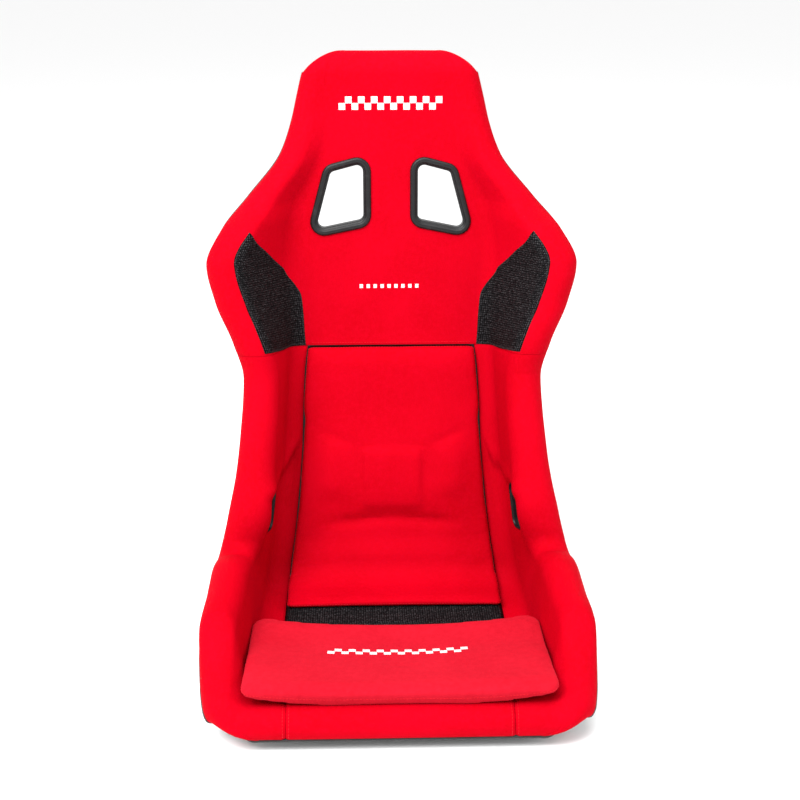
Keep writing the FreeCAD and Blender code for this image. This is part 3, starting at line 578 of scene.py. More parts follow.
def knit_look(place, uv):
    u, v = uv.part(0), uv.part(1)
    ribs = (u * (2 * math.pi / 0.0011)).sine()
    courses = (v * (2 * math.pi / 0.0009) + 1.6 * ribs).sine()
    stitch = ribs * courses
    fluff = place.noise(1500, 3, 0.65)
    cloud = place.noise(11, 4, 0.55)
    slub = place.noise(160, 3, 0.6)
    tone = cloud.above(0.3, 0.72).blend(RED_SHADE, RED)
    tint = (slub * 0.6 + fluff * 0.4).above(0.38, 0.75).blend(tone, RED_FLUFF)
    return {"Base Color": tint, "Roughness": 0.62 + 0.18 * fluff,
            "Specular IOR Level": 0.015, "Sheen Weight": 0.012, "Sheen Roughness": 0.35,
            "Sheen Tint": (1.0, 0.02, 0.06, 1),
            "Normal": (0.55 * stitch + fluff).bump(0.3, 0.00035, slub.bump(0.15, 0.0006))}


red_knit = finish("red knitted fabric", knit_look)


def step(x, low, high):
    """0 under low, 1 over high, and smooth between."""
    t = np.clip((x - low) / (high - low), 0, 1)
    return t * t * (3 - 2 * t)


def pulls(s, v):
    """Soft pulls of the stretched fabric, in millimetres of depth."""
    x = 60 * v
    wide = np.sin(s / 43 + x / 71) * np.sin(x / 37 - s / 97)
    fine = np.sin(s / 13 + x / 29 + 1.5 * np.sin(x / 53)) * np.sin(s / 61 - x / 41)
    return 0.35 * wide + 0.12 * fine


FOLD_V, FOLD_S = [1.0, 1.44, 2.22, 3.05], [718, 670, 641, 608]
FOLD_DEPTH = {1: 5.5, -1: 8.5}
BROW_RIGHT, BROW_LEFT = 13.0, 15.5


def waist_fold(s, v, depth):
    """Fold from the back cushion's edge down the side wall, and the bulge over the lap slot."""
    line = np.interp(np.abs(v), FOLD_V, FOLD_S)
    below = line - s + 5 * np.sin(8 * v)
    across = step(np.abs(v), 0.95, 1.2) * (1 - step(np.abs(v), 2.9, 3.3))
    fold = step(below, -12, 12) * np.exp(-(np.maximum(below - 6, 0) / 60) ** 2)
    ridge = np.exp(-((below + 18) / 15) ** 2)
    brow = bell(np.abs(v), 3.06, 0.24) * bell(s, 572, 78)
    return depth * across * (fold - 0.3 * ridge) - np.where(v < 0, BROW_LEFT, BROW_RIGHT) * brow


def panel(name, s, v, dips):
    """Closed padded panel between the covered surface and the shell."""
    s, v = np.broadcast_arrays(s, v)
    top = skin(s, v, dips + pulls(s, v))
    return slab(name, top, skin(s, v, PADDED), cloth_uv(top, s[:, :1]))


def seam_share(v):
    """Share of the seam's turn that is left, less of it out on the rolled edge."""
    return 1 - 0.75 * step(np.abs(v), 2.9, 3.4)


def skirt_turn(v):
    return edge_dip((SKIRT_END - np.abs(v)) * SKIRT_SPAN, *HEM)


rows = np.linspace(SEAM + SEAM_GAP, TOP_END, 170)[:, None]
across = both_sides(columns(28, 9, 20, 18, 6))[None, :]
dips = edge_dip(rows - SEAM, *SEAM_TURN) * seam_share(across) + edge_dip(TOP_END - rows, *HEM)
dips = dips + skirt_turn(across)
upper = panel("shoulder_and_head_cover", rows, across, dips)
cut(upper, shoulder_cutters(COLLAR))
wear(upper, red_knit)
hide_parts("upper_cover", "upper_foam")

side_rows = np.linspace(LIP, SEAM - SEAM_GAP, 200)[:, None]
inner = (tray_half(side_rows) + SEAM_GAP) / floor_half(side_rows)
spread = columns(6, 10, 22, 20, 7)[None, :]
side_across = np.where(spread < 1, inner + (1 - inner) * spread, spread)
from_edge = floor_half(side_rows) * (side_across - inner)
dips = edge_dip(SEAM - side_rows, *SEAM_TURN) * seam_share(side_across)
dips = edge_dip(from_edge, *TRAY_TURN) + dips
dips = dips + edge_dip(side_rows - LIP, *HEM) + skirt_turn(side_across)
for name, side in SIDES:
    fold = waist_fold(side_rows, side * side_across, FOLD_DEPTH[side])
    cover = panel("side_cover_" + name + "_padded", side_rows, side * side_across, dips + fold)
    cut(cover, [lap_cutter(COLLAR, side)])
    wear(cover, red_knit)
    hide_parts("side_cover_" + name, "side_foam_" + name)

lip_rows = np.linspace(LIP, LIP_PANEL_END, 34)[:, None]
share = np.linspace(-1, 1, 91)[None, :]
lip_across = share * ((tray_half(lip_rows) - SEAM_GAP) / floor_half(lip_rows))
dips = edge_dip((1 - np.abs(share)) * 157, *LIP_TURN) + edge_dip(lip_rows - LIP, *HEM)
dips = dips + edge_dip(LIP_PANEL_END - lip_rows, *HEM)
lip = panel("lip_cover_padded", lip_rows, lip_across, dips)
wear(lip, red_knit)
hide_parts("lip_cover", "lip_foam")

# Shoulder mesh: black spacer mesh let into the wings, sewn round its edge. Its outline is
# given by its inner and outer edges, at rises above the seam under it.
MESH_HIGH = 205
MESH_RISES = [0, 24, 64, 84, 102, 124, 146, 168, 184, MESH_HIGH]
MESH_INNER = [1.0, 1.11, 1.18, 1.21, 1.43, 1.86, 2.18, 2.49, 2.80, 3.19]
MESH_OUTER = [3.25, 3.245, 3.21, 3.21, 3.22, 3.23, 3.24, 3.26, 3.25, 3.20]


def spacer_look(place, uv):
    reach = uv.node("ShaderNodeTexVoronoi", None, {
        "Vector": uv, "Scale": 270.0, "Randomness": 0.3})
    chance = reach.beside("Color").part(0)
    knot = 1 - reach.above(0.10, 0.42)
    hole = reach.above(0.48, 0.66)
    fibre = uv.noise(1900, 3, 0.65)
    # Painted highlight and shade: glint paints light glints on the knots into the base colour, and
    # the holes get a darker colour as painted shade.
    glint = knot * (0.25 + 0.75 * chance) * fibre.above(0.30, 0.55)
    colour = hole.blend((0.0040, 0.0040, 0.0045), (0.0005, 0.0005, 0.0005))
    return {"Base Color": glint.blend(colour, (0.062, 0.060, 0.062)),
            "Roughness": 0.7 + 0.25 * hole, "Specular IOR Level": 0.05,
            "Normal": (0.6 * knot + 0.2 * fibre - hole).bump(0.7, 0.0006)}


spacer_mesh = finish("black spacer mesh", spacer_look)


def mesh_place(rise, share, side):
    """s and v on a mesh panel, at a rise above its seam and a share of its width."""
    low, high = (smooth_between(MESH_RISES, edge, rise) for edge in (MESH_INNER, MESH_OUTER))
    v = low + (high - low) * share
    return SEAM + 0.4 + rise + 4 * step(v, 2.3, 3.25) * (1 - rise / MESH_HIGH) ** 2, side * v


rise = np.linspace(0, MESH_HIGH, 120)[:, None]
share = 0.5 - 0.5 * np.cos(np.linspace(0, math.pi, 72))[None, :]
mesh_widths = {}
for name, side in SIDES:
    s, v = mesh_place(*np.broadcast_arrays(rise, share), side)
    flat = cloth_uv(skin(s, v), s[:, :1])
    width = (flat[:, -1:, 0] - flat[:, :1, 0]) / MM
    mesh_widths[name] = width[:, 0]
    near = np.minimum(np.minimum(share, 1 - share) * width, np.minimum(rise, MESH_HIGH - rise))
    top = skin(s, v, -0.4 - 1.2 * (1 - np.exp(-near / 4)))
    bottom = skin(s, v, 0.9)
    patch = slab("shoulder_mesh_" + name + "_panel", top, bottom, cloth_uv(top, s[:, :1]))
    patch.data.set_sharp_from_angle(angle=CREASE)
    wear(patch, spacer_mesh)
    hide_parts("shoulder_mesh_" + name)

# Slot trims: satin black nylon. A bezel on the front of each shoulder slot with a ring on the
# back of the shell, a grommet in each lap slot and a two-part grommet in the crotch slot.
def nylon_look(place, uv):
    grain = place.noise(1300, 2, 0.6)
    scuff = place.noise(60, 4, 0.6).above(0.5, 0.75)
    return {"Base Color": scuff.blend((0.0050, 0.0050, 0.0056), (0.013, 0.013, 0.014)),
            "Roughness": 0.34 + 0.12 * grain + 0.1 * scuff, "Specular IOR Level": 0.26,
            "Normal": grain.bump(0.2, 0.0003)}


nylon = finish("satin black nylon", nylon_look)


def trim_ring(name, corners, radius, axes, profile, side, s_range, v_range):
    """Ring round a slot, through profile points of (offset from the slot, depth)."""
    loops = []
    for grow, depth in profile:
        loop = rounded(corners, grow, radius)
        s, v = find(loop, axes, s_range, v_range)
        loops.append(skin(s, side * v, depth))
    loops = np.array(loops)
    rings, count = loops.shape[:2]
    index = np.arange(rings * count).reshape(rings, count)
    onward, beside = np.roll(index, -1, 0), np.roll(index, -1, 1)
    faces = np.stack([index, beside, np.roll(beside, -1, 0), onward], -1).reshape(-1, 4)
    return make_piece(name, loops, faces.tolist())


BEZEL = [(0.0, 19.2), (0.0, 6.0), (0.0, 0.4), (0.5, -0.9), (1.6, -1.7), (2.9, -1.9), (3.5, -2.5),
         (4.3, -3.6), (5.8, -4.4), (8.0, -4.6), (10.2, -4.2), (11.8, -3.2), (12.8, -1.7),
         (13.0, -0.3), (12.4, 0.1), (2.6, 0.2), (2.5, 19.2)]
REAR_RING = [(3.0, 16.4), (12.4, 16.4), (13.0, 17.0), (12.8, 18.4), (11.8, 19.3), (3.6, 19.4),
             (2.9, 18.9)]
for name, side in SIDES:
    for part, profile in (("bezel", BEZEL), ("rear_ring", REAR_RING)):
        ring = trim_ring("shoulder_" + part + "_" + name + "_moulded", SHOULDER_SLOT, SLOT_CORNER,
                         [0, 2], profile, side, (CHEST, HEAD), (0.05, 3.0))
        wear(ring, nylon)
        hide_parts("shoulder_" + part + "_" + name)

GROMMET = [(0.0, 18.2), (0.0, 4.0), (0.3, 0.6), (1.4, -0.2), (2.5, 0.5), (2.5, 16.6),
           (7.4, 16.6), (8.0, 17.2), (7.6, 18.2), (1.0, 18.8)]
for name, side in SIDES:
    ring = trim_ring("lap_belt_grommet_" + name + "_moulded", LAP_SLOT, LAP_CORNER,
                     [1, 2], GROMMET, side, (HIP - 20, WAIST), (1.0, 4.0))
    wear(ring, nylon)
    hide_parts("lap_belt_grommet_" + name)
for part in ("top", "bottom"):
    paint(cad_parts["crotch_grommet_" + part], nylon)

# Edging: extruded black rubber pressed over the raw edge of the shell and the tucked fabric.
# One length runs up each side and round its corners, one lies over the crown, one under the lip.
def rubber_look(place, uv):
    grain = place.noise(800, 3, 0.6)
    bloom = place.noise(35, 3, 0.5).above(0.45, 0.75)
    return {"Base Color": bloom.blend((0.010, 0.010, 0.010), (0.024, 0.024, 0.024)),
            "Roughness": 0.5 + 0.2 * grain, "Normal": grain.bump(0.2, 0.0003)}


rubber = finish("black edging rubber", rubber_look)
turn = np.linspace(0, 2 * math.pi, 21)[:-1]
bulb_across = np.sign(np.cos(turn)) * np.abs(np.cos(turn)) ** 0.6
bulb_along = np.sign(np.sin(turn)) * np.abs(np.sin(turn)) ** 0.6
BULB_IN, BULB_REACH, BULB_UNDER, BULB_HALF = 8, 8.6, 2.9, 2.5


def swept(name, rings):
    """Closed tube through rings of points, with its ends filled."""
    count, around = rings.shape[:2]
    index = np.arange(count * around).reshape(count, around)
    beside = np.roll(index, -1, 1)
    faces = np.stack([index[:-1], beside[:-1], beside[1:], index[1:]], -1).reshape(-1, 4).tolist()
    faces += [index[0].tolist(), index[-1, ::-1].tolist()]
    return make_piece(name, rings, faces)


for name, side in SIDES:
    s = np.concatenate([np.linspace(LIP, RAMP + 30, 60), np.linspace(RAMP + 34, CROWN - 24, 200),
                        np.linspace(CROWN - 20, TOP_END, 60)])
    edge = skin(s, 5.0 * side) / MM
    onward = np.gradient(edge, s, axis=0)
    angle = plane_angle(s)
    under = -np.stack([0 * s, np.cos(angle), np.sin(angle)], -1)
    inward = side * np.cross(onward, under)
    inward = inward / np.linalg.norm(inward, axis=1)[:, None]
    deep = (BULB_IN - BULB_REACH * bulb_across)[None, :, None]
    low = (BULB_UNDER - BULB_HALF * bulb_along)[None, :, None]
    rings = (edge[:, None] + inward[:, None] * deep + under[:, None] * low) * MM
    edging = swept("side_edging_" + name + "_rubber", rings)
    wear(edging, rubber)
    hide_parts("side_edging_" + name)
v = both_sides(columns(20, 6, 4, 12, 3))
for name, middle in (("crown", TOP_END + BULB_UNDER), ("lip", LIP - BULB_UNDER)):
    s_ring = middle + BULB_HALF * np.broadcast_to(bulb_along, (len(v), len(turn)))
    depth = BULB_IN + BULB_REACH * np.broadcast_to(bulb_across, (len(v), len(turn)))
    edging = swept(name + "_edging_rubber", skin(s_ring, v[:, None], depth))
    wear(edging, rubber)
    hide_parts(name + "_edging")

# Hook-and-loop tape: black woven tape, loops glued to the shell, hooks sewn to the back
# cushion. Two strips of each stand side by side behind the cushion.
def tape_look(place, uv):
    pile = place.noise(1700, 3, 0.7)
    return {"Base Color": pile.above(0.35, 0.7).blend((0.006, 0.006, 0.006), (0.045, 0.045, 0.047)),
            "Roughness": 0.95, "Specular IOR Level": 0.15, "Normal": pile.bump(0.9, 0.0008)}


tape_pile = finish("hook and loop pile", tape_look)
TAPES = [("back_loop_tape", 10.3, 11.8, "seat_shell"),
         ("back_hook_tape", 8.2, 9.7, "back_cushion")]
TAPE_X = (45, 95)
for name, near, far, body in TAPES:
    strips = []
    for side in (1, -1):
        s = np.linspace(BACK + 78, WAIST, 120)[:, None]
        x = side * np.linspace(*TAPE_X, 26)[None, :]
        s, x = np.broadcast_arrays(s, x)
        pile = 0.12 * np.sin(s * 2.1 + x * 1.3) * np.sin(x * 2.3 - s * 0.7)
        faces = [on_plane(s, x, -depth * lean_of(s)) for depth in (near + 0.12 + pile, far)]
        strips.append(slab(name + "_pile", *faces))
    tape = join(strips)
    wear(tape, tape_pile, body)
    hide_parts(name)

# Loose cushions: cut foam in a sewn cover. The back cushion is red knit and stands in the tray
# between the side panels, held by the tape, with its foot on the seat pad.
VOXEL, PRESSURE, FRAMES = 0.005, 4.0, 20


def points_of(mesh):
    points = np.empty(len(mesh.vertices) * 3)
    mesh.vertices.foreach_get("co", points)
    return points.reshape(-1, 3)


def inflate(piece, cap):
    """Swells a closed piece as padded fabric does, each point by at most the cap."""
    remesh = piece.modifiers.new("remesh", "REMESH")
    remesh.mode, remesh.voxel_size = "VOXEL", VOXEL
    settle(piece)
    before = points_of(piece.data)
    cloth = piece.modifiers.new("cloth", "CLOTH")
    cloth.settings.use_pressure = True
    cloth.settings.uniform_pressure_force = PRESSURE
    cloth.settings.effector_weights.gravity = 0
    cloth.point_cache.frame_start, cloth.point_cache.frame_end = 1, FRAMES
    for moment in range(1, FRAMES + 1):
        bpy.context.scene.frame_set(moment)
    settle(piece)
    bpy.context.scene.frame_set(1)
    move = points_of(piece.data) - before
    length = np.linalg.norm(move, axis=1)[:, None]
    move *= np.minimum(1, cap / np.maximum(length, 1e-9))
    piece.data.vertices.foreach_set("co", (before + move).ravel())
    finer = piece.modifiers.new("finer", "SUBSURF")
    finer.levels = finer.render_levels = 1
    settle(piece)
    piece.data.shade_smooth()
    return piece


AT_ONCE, TOO_HIGH = 20000, 170


def place_over(points):
    """x, s and height over the covered surface's middle line, of points in metres."""
    line = np.linspace(LIP, TOP_END, 1400)
    y, z, _ = middle_line(line)
    angle = plane_angle(line)
    made = []
    for part in np.array_split(points / MM, max(1, len(points) // AT_ONCE)):
        dy, dz = part[:, 1:2] - y, part[:, 2:3] - z
        off = np.abs(dy * np.sin(angle) - dz * np.cos(angle))
        n = dy * np.cos(angle) + dz * np.sin(angle)
        best = np.argmin(off + 1000 * (np.abs(n) > TOO_HIGH), 1)
        made.append(np.stack([part[:, 0], line[best], n[np.arange(len(part)), best]], -1))
    return np.concatenate(made)


def dress(piece, relief):
    """Moves a cushion's surface in along its normals, and lays its cloth's map over it."""
    mesh = piece.data
    points = points_of(mesh)
    normals = np.empty(points.size)
    mesh.vertex_normals.foreach_get("vector", normals)
    x, s, n = place_over(points).T
    points = points - normals.reshape(-1, 3) * relief(x, s, n)[:, None] * MM
    mesh.vertices.foreach_set("co", points.ravel())
    mesh.update()
    lay_cloth(mesh, np.stack([x + 0.6 * n, s + 0.8 * n], -1) * MM)


def cushion(name, s, half, top, bottom, radii, corners=(8, 8), undercut=0.0):
    """Closed pad. half is per row, top and bottom are heights over the grid of points, radii
    are those of its upper and lower rims, and corners those of its front and rear in plan.
    The underside starts further back than the top by the undercut."""
    from_front, from_rear = s - s[0], s[-1] - s
    for distance, radius in zip((from_front, from_rear), corners):
        rest = 1 - np.clip(distance / radius, 0, 1)
        half = half - radius * (1 - np.sqrt(1 - rest ** 2))
    even = np.linspace(-1, 1, 89)
    share = np.sin(even * math.pi / 2) * 0.35 + even * 0.65
    s_grid = np.broadcast_to(s[:, None], (len(s), len(share)))
    x = share[None, :] * half[:, None]
    upper, lower = top(s_grid, x), bottom(s_grid, x)
    distance = np.minimum(np.minimum(s_grid - s[0], s[-1] - s_grid), half[:, None] - np.abs(x))
    fit = np.minimum(1, 0.96 * (upper - lower) / sum(radii))
    levels = []
    for level, radius, way in ((upper, radii[0] * fit, -1), (lower, radii[1] * fit, 1)):
        rest = 1 - np.clip(distance / radius, 0, 1)
        levels.append(level + way * radius * (1 - np.sqrt(1 - rest ** 2)))
    under = s_grid + undercut * (1 - np.clip((s_grid - s[0]) / 60, 0, 1)) ** 2
    return slab(name, on_plane(s_grid, x, levels[0]), on_plane(under, x, levels[1]))


def rim_rows(start, stop, count, closeness=0.5):
    """Distances from one rim to the other, closer together near both."""
    even = np.linspace(-1, 1, count)
    eased = np.sin(even * math.pi / 2)
    return (start + stop) / 2 + (stop - start) / 2 * (closeness * eased + (1 - closeness) * even)


BACK_FOOT, BACK_TOP = HIP - 49.5, SEAM - 0.9
# Where a station stands, the heights of the underside and the edges, and of the crown
STATIONS = np.array([
    (BACK_FOOT, 8.4, 20, 24), (HIP + 27.5, 8.4, 20, 25), (BACK, 0, 18, 25),
    (BACK + 42, -8, 14, 15), (BACK + 123, -8, 14, 25), (LUMBAR, -8, 14, 22),
    (WAIST - 43.3, -8, 14, 17), (WAIST, -8, 14, 17), (BACK_TOP, -8, 10, 12)])


def back_top(s, x):
    """Crowned front with a raised lumbar block, a soft bolster on each side and a crease."""
    edge, crown = (smooth_between(STATIONS[:, 0], STATIONS[:, i], s) for i in (2, 3))
    n = edge - 1 + (crown - edge) * (1 - (x / tray_half(s)) ** 2)
    block = step(s, 588, 600) * (1 - step(s, 690, 703)) * (1 - step(np.abs(x), 44, 55))
    wing = step(s, 600, 640) * (1 - step(s, 680, 735)) * bell(np.abs(x), 103, 24)
    crease = bell(s, 572 + 4 * np.cos(x / 40), 9) * (1 - step(np.abs(x), 70, 128))
    below = bell(s, 538, 24) * (1 - step(np.abs(x), 90, 140))
    fold = bell(s - 706 - 0.42 * (np.abs(x) - 68), 0, 7) * bell(np.abs(x), 92, 24)
    return n + 4.2 * block + 5.5 * wing - 5.5 * crease + 3.0 * below - 3.4 * fold


def back_bottom(s, x):
    base = smooth_between(STATIONS[:, 0], STATIONS[:, 1], s)
    return np.where(base < 0, base * lean_of(s), base) + 0.6


def back_pulls(x, s, n):
    wide = np.sin(s / 34 + x / 61) * np.sin(x / 29 - s / 83)
    fine = np.sin(s / 9 + 2 * np.sin(x / 38)) * np.sin(x / 17 + s / 47)
    return 0.35 * wide + 0.10 * fine + 0.9 * bell(np.abs(x), 52, 7) * bell(s, 646, 44)


s = rim_rows(BACK_FOOT + 0.8, BACK_TOP - 0.6, 110)
back_half = tray_half(s) - 0.9 + 0.6 * np.sin(s / 17) - 2 * bell(s, 748, 14)
back = cushion("back_cushion_padded", s, back_half, back_top, back_bottom, (7, 5), (8, 4))
dress(inflate(back, 0.0015), back_pulls)
wear(back, red_knit, "back_cushion")
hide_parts("back_cushion_cover", "back_cushion_core")

# Seat pad: thin foam under black spacer mesh, laid on the pan between the side panels, with a
# hole for the crotch strap.
PAD_EDGE, PAD_CROWN, PAD_DEPTH, PAD_HOLE = 6.4, 1.2, 11.4, 9.5


def pad_top(s, x):
    return PAD_EDGE + PAD_CROWN * (1 - (x / 177) ** 2)


def pad_bottom(s, x):
    return -PAD_DEPTH * lean_of(s)


def pad_pulls(x, s, n):
    return 0.3 * np.sin(x / 21 + s / 57) * np.sin(s / 23)


s = rim_rows(SEAT_PAD_FRONT + 0.8, HIP - 9.8, 80)
seat_pad = cushion("seat_pad_padded", s, tray_half(s) - 1.2, pad_top, pad_bottom, (5, 4))
cut(seat_pad, [crotch_cutter(PAD_HOLE)])
dress(inflate(seat_pad, 0.001), pad_pulls)
wear(seat_pad, spacer_mesh)
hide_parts("seat_pad_cover", "seat_pad_core")

# Thigh cushion: thick foam wedge in red brushed suede, loose on the front of the pan. Its ends
# ride up on the side padding, so that its underside shows a dark gap at the front.
def suede_look(place, uv):
    nap = place.noise(1500, 4, 0.7)
    brushed = place.noise(120, 5, 0.66).above(0.30, 0.72)
    patch = place.noise(13, 3, 0.5).above(0.25, 0.80)
    tone = (0.55 * brushed + 0.45 * patch).blend((0.36, 0.0034, 0.012), (0.43, 0.0064, 0.018))
    return {"Base Color": tone, "Roughness": 0.86 + 0.12 * nap, "Specular IOR Level": 0.06,
            "Sheen Weight": 0.22, "Sheen Roughness": 0.34, "Sheen Tint": (1.0, 0.10, 0.16, 1),
            "Normal": nap.bump(0.55, 0.0005, brushed.bump(0.10, 0.0010))}


red_suede = finish("red suede", suede_look)
line = np.linspace(RAMP - 28, HIP, 2000)
THIGH_FRONT, THIGH_REAR = np.interp([-287.5, -58.0], middle_line(line)[0], line)
THIGH_FRONT_TOP, THIGH_REAR_TOP, THIGH_FLAT, THIGH_HALF, TIP_REACH = 25, 42, 90, 222, 223.0
# Rise of the tips' upper rim over the top, and of their lower rim over the base, at the front,
# and what each gains towards the rear
TIP_UPPER, TIP_LOWER = (9, 15), (21, 5)


def thigh_levels(s):
    """Base, top, and the heights of the tips' upper and lower rims."""
    t = (s - THIGH_FRONT) / (THIGH_REAR - THIGH_FRONT)
    base = 0.4 + 8 * np.clip((s - LIP_PANEL_END) / (SEAT_PAD_FRONT - LIP_PANEL_END), 0, 1)
    top = THIGH_FRONT_TOP + (THIGH_REAR_TOP - THIGH_FRONT_TOP) * t
    high, low = (at + rim[0] + rim[1] * t for at, rim in ((top, TIP_UPPER), (base, TIP_LOWER)))
    return base, top, high, low


def thigh_tip(s):
    """Half width on each row, out to the side padding that the tips ride on."""
    wall_v = np.linspace(1, 3, 160)
    reach = []
    for place, level in zip(s, thigh_levels(s)[3]):
        wall_x, wall_n = section_point(np.full(160, place), wall_v, 0.0)
        reach.append(min(TIP_REACH, np.interp(level, wall_n, wall_x) + 3))
    return np.array(reach)


def thigh_top(s, x):
    _, top, high, _ = thigh_levels(s)
    full = 1.6 * np.cos(np.clip(x / 226, -1, 1) * math.pi / 2)
    return top + (high - top) * (x / THIGH_HALF) ** 2 - 1.2 + full


def thigh_bottom(s, x):
    base, _, _, low = thigh_levels(s)
    ride = np.clip((np.abs(x) - THIGH_FLAT) / (THIGH_HALF - THIGH_FLAT), 0, 1)
    return base + (low - base) * ride ** 1.9 + 0.5


def thigh_pulls(x, s, n):
    wide = np.sin(x / 43 + s / 31) * np.sin(s / 27 - x / 90)
    fine = np.sin(x / 12 + 2 * np.sin(s / 19)) * np.sin(s / 15 + x / 70)
    ends = bell(np.abs(x), 196, 16) * np.sin(s / 9 + np.abs(x) / 11)
    return 0.40 * wide + 0.14 * fine + 0.35 * ends


s = rim_rows(THIGH_FRONT + 0.6, THIGH_REAR - 0.8, 84)
thigh = cushion("thigh_cushion_padded", s, thigh_tip(s) - 0.8, thigh_top, thigh_bottom, (4, 3),
                (10, 24), undercut=1.0)
dress(inflate(thigh, 0.0018), thigh_pulls)
wear(thigh, red_suede, "thigh_cushion")
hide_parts("thigh_cushion_cover", "thigh_cushion_core")

# Seam stitching: lockstitch in bonded thread, red along the red panels and cushions and black
# round the mesh. Each stitch is a short thread that dips into the fabric at both ends.
def open_tree(name, *sizes):
    """Starts a geometry tree from lines and named sizes to threads, and gives its inputs."""
    tree = bpy.data.node_groups.new(name, "GeometryNodeTree")
    tree.interface.new_socket("Lines", in_out="INPUT", socket_type="NodeSocketGeometry")
    for size in sizes:
        tree.interface.new_socket(size, in_out="INPUT", socket_type="NodeSocketFloat")
    tree.interface.new_socket("Threads", in_out="OUTPUT", socket_type="NodeSocketGeometry")
    given = tree.nodes.new("NodeGroupInput").outputs
    return [Sock(tree, given[size]) for size in ("Lines", *sizes)]


def close_tree(threads, material):
    """Ends a tree in real threads of one material, and gives the tree."""
    real = threads.node("GeometryNodeRealizeInstances", None, {"Geometry": threads})
    dyed = real.node("GeometryNodeSetMaterial", None, {"Geometry": real, "Material": material})
    dyed.tree.links.new(dyed.socket, dyed.tree.nodes.new("NodeGroupOutput").inputs[0])
    return dyed.tree


def stitch_tree(name, material):
    """Stitches at a pitch along every line."""
    lines, pitch, length, radius = open_tree(name, "Pitch", "Stitch Length", "Thread Radius")
    path = lines.node("GeometryNodeMeshToCurve", None, {"Mesh": lines})
    spots = path.node("GeometryNodeCurveToPoints", {"mode": "LENGTH"},
                      {"Curve": path, "Length": pitch}, "Points")
    bead = lines.node("GeometryNodeMeshUVSphere", None,
                      {"Segments": 6, "Rings": 4, "Radius": 1.0})
    shape = radius.node("ShaderNodeCombineXYZ", None,
                        {"X": radius, "Y": radius, "Z": length * 0.5})
    stitch = bead.node("GeometryNodeTransform", None, {"Geometry": bead, "Scale": shape})
    sewn = spots.node("GeometryNodeInstanceOnPoints", None, {
        "Points": spots, "Instance": stitch, "Rotation": spots.beside("Rotation")})
    return close_tree(sewn, material)


def strand_tree(name, material):
    """A round thread along every line."""
    lines, radius = open_tree(name, "Thread Radius")
    path = lines.node("GeometryNodeMeshToCurve", None, {"Mesh": lines})
    ring = radius.node("GeometryNodeCurvePrimitiveCircle", {"mode": "RADIUS"},
                       {"Resolution": 6, "Radius": radius})
    tube = path.node("GeometryNodeCurveToMesh", None, {
        "Curve": path, "Profile Curve": ring, "Fill Caps": True})
    return close_tree(tube, material)


def sew(name, lines, tree, sizes, material, body):
    """Runs a tree over lines of points and keeps its threads as one plain mesh."""
    mesh = bpy.data.meshes.new(name)
    points, edges = [], []
    for line in lines:
        edges += [(len(points) + i, len(points) + i + 1) for i in range(len(line) - 1)]
        points += np.asarray(line).tolist()
    mesh.from_pydata(points, edges, [])
    threads = placed(name, mesh)
    made = threads.modifiers.new("threads", "NODES")
    made.node_group = tree
    for item in tree.interface.items_tree:
        if item.name in sizes:
            made[item.identifier] = sizes[item.name]
    settle(threads)
    threads.data.shade_smooth()
    wear(threads, material, body)


def laid_on(piece, points, lift):
    """Nearest points of a piece, lifted off it along its normals."""
    polygons = [tuple(polygon.vertices) for polygon in piece.data.polygons]
    tree = BVHTree.FromPolygons([vertex.co for vertex in piece.data.vertices], polygons)
    laid = []
    for point in points.reshape(-1, 3):
        place, normal, _, _ = tree.find_nearest(Vector(point))
        laid.append(place + normal * lift)
    return np.array(laid).reshape(points.shape)


def thread_look(colour, shade):
    def look(place, uv):
        twist = place.noise(2400, 2, 0.5)
        return {"Base Color": twist.above(0.3, 0.7).blend(shade, colour),
                "Roughness": 0.42 + 0.2 * twist, "Specular IOR Level": 0.2,
                "Normal": twist.bump(0.3, 0.0002)}
    return look


red_thread = finish("red bonded thread",
                    thread_look((0.62, 0.001, 0.012), (0.40, 0.0005, 0.006)))
black_thread = finish("black bonded thread",
                      thread_look((0.05, 0.05, 0.052), (0.012, 0.012, 0.012)))
white_thread = finish("white embroidery thread",
                      thread_look((0.80, 0.80, 0.80), (0.56, 0.56, 0.57)))
red_stitches = stitch_tree("red stitching", red_thread)
black_stitches = stitch_tree("black stitching", black_thread)
white_strands = strand_tree("white embroidery", white_thread)
LOCKSTITCH = {"Pitch": 0.0046, "Stitch Length": 0.0039, "Thread Radius": 0.00042}
MESH_SEAM, MESH_SEAM_TOP, PANEL_SEAM = 2.6, 197, 4.2
ON_FABRIC, ON_MESH = 0.0001, 0.00012

for name, side in SIDES:
    rise = np.linspace(MESH_SEAM, MESH_SEAM_TOP, 100)
    inset = MESH_SEAM / np.interp(rise, np.linspace(0, MESH_HIGH, 120), mesh_widths[name])
    across = np.linspace(inset[0], 1 - inset[0], 50)
    rises = np.concatenate([rise[::-1], np.full(50, MESH_SEAM), rise])
    s, v = mesh_place(rises, np.concatenate([inset[::-1], across, 1 - inset]), side)
    patch = bpy.data.objects["shoulder_mesh_" + name + "_panel"]
    seam = laid_on(patch, skin(s, v, -1.2), ON_MESH)
    sew("shoulder_mesh_" + name + "_stitches", [np.concatenate([seam, seam[:1]])], black_stitches,
        LOCKSTITCH, black_thread, "seat_shell")

s = np.linspace(LIP + 8, LIP_PANEL_END - 3, 60)
lines = []
for name, side in SIDES:
    cover = bpy.data.objects["side_cover_" + name + "_padded"]
    for piece, half in ((lip, tray_half(s) - PANEL_SEAM), (cover, tray_half(s) + PANEL_SEAM)):
        lines.append(laid_on(piece, skin(s, side * half / floor_half(s)), ON_FABRIC))
x = np.linspace(-132, 132, 90)
s = np.full(90, SEAM + PANEL_SEAM)
lines.append(laid_on(upper, on_plane(s, x, 0 * x), ON_FABRIC))
sew("cover_seam_stitches", lines, red_stitches, LOCKSTITCH, red_thread, "seat_shell")


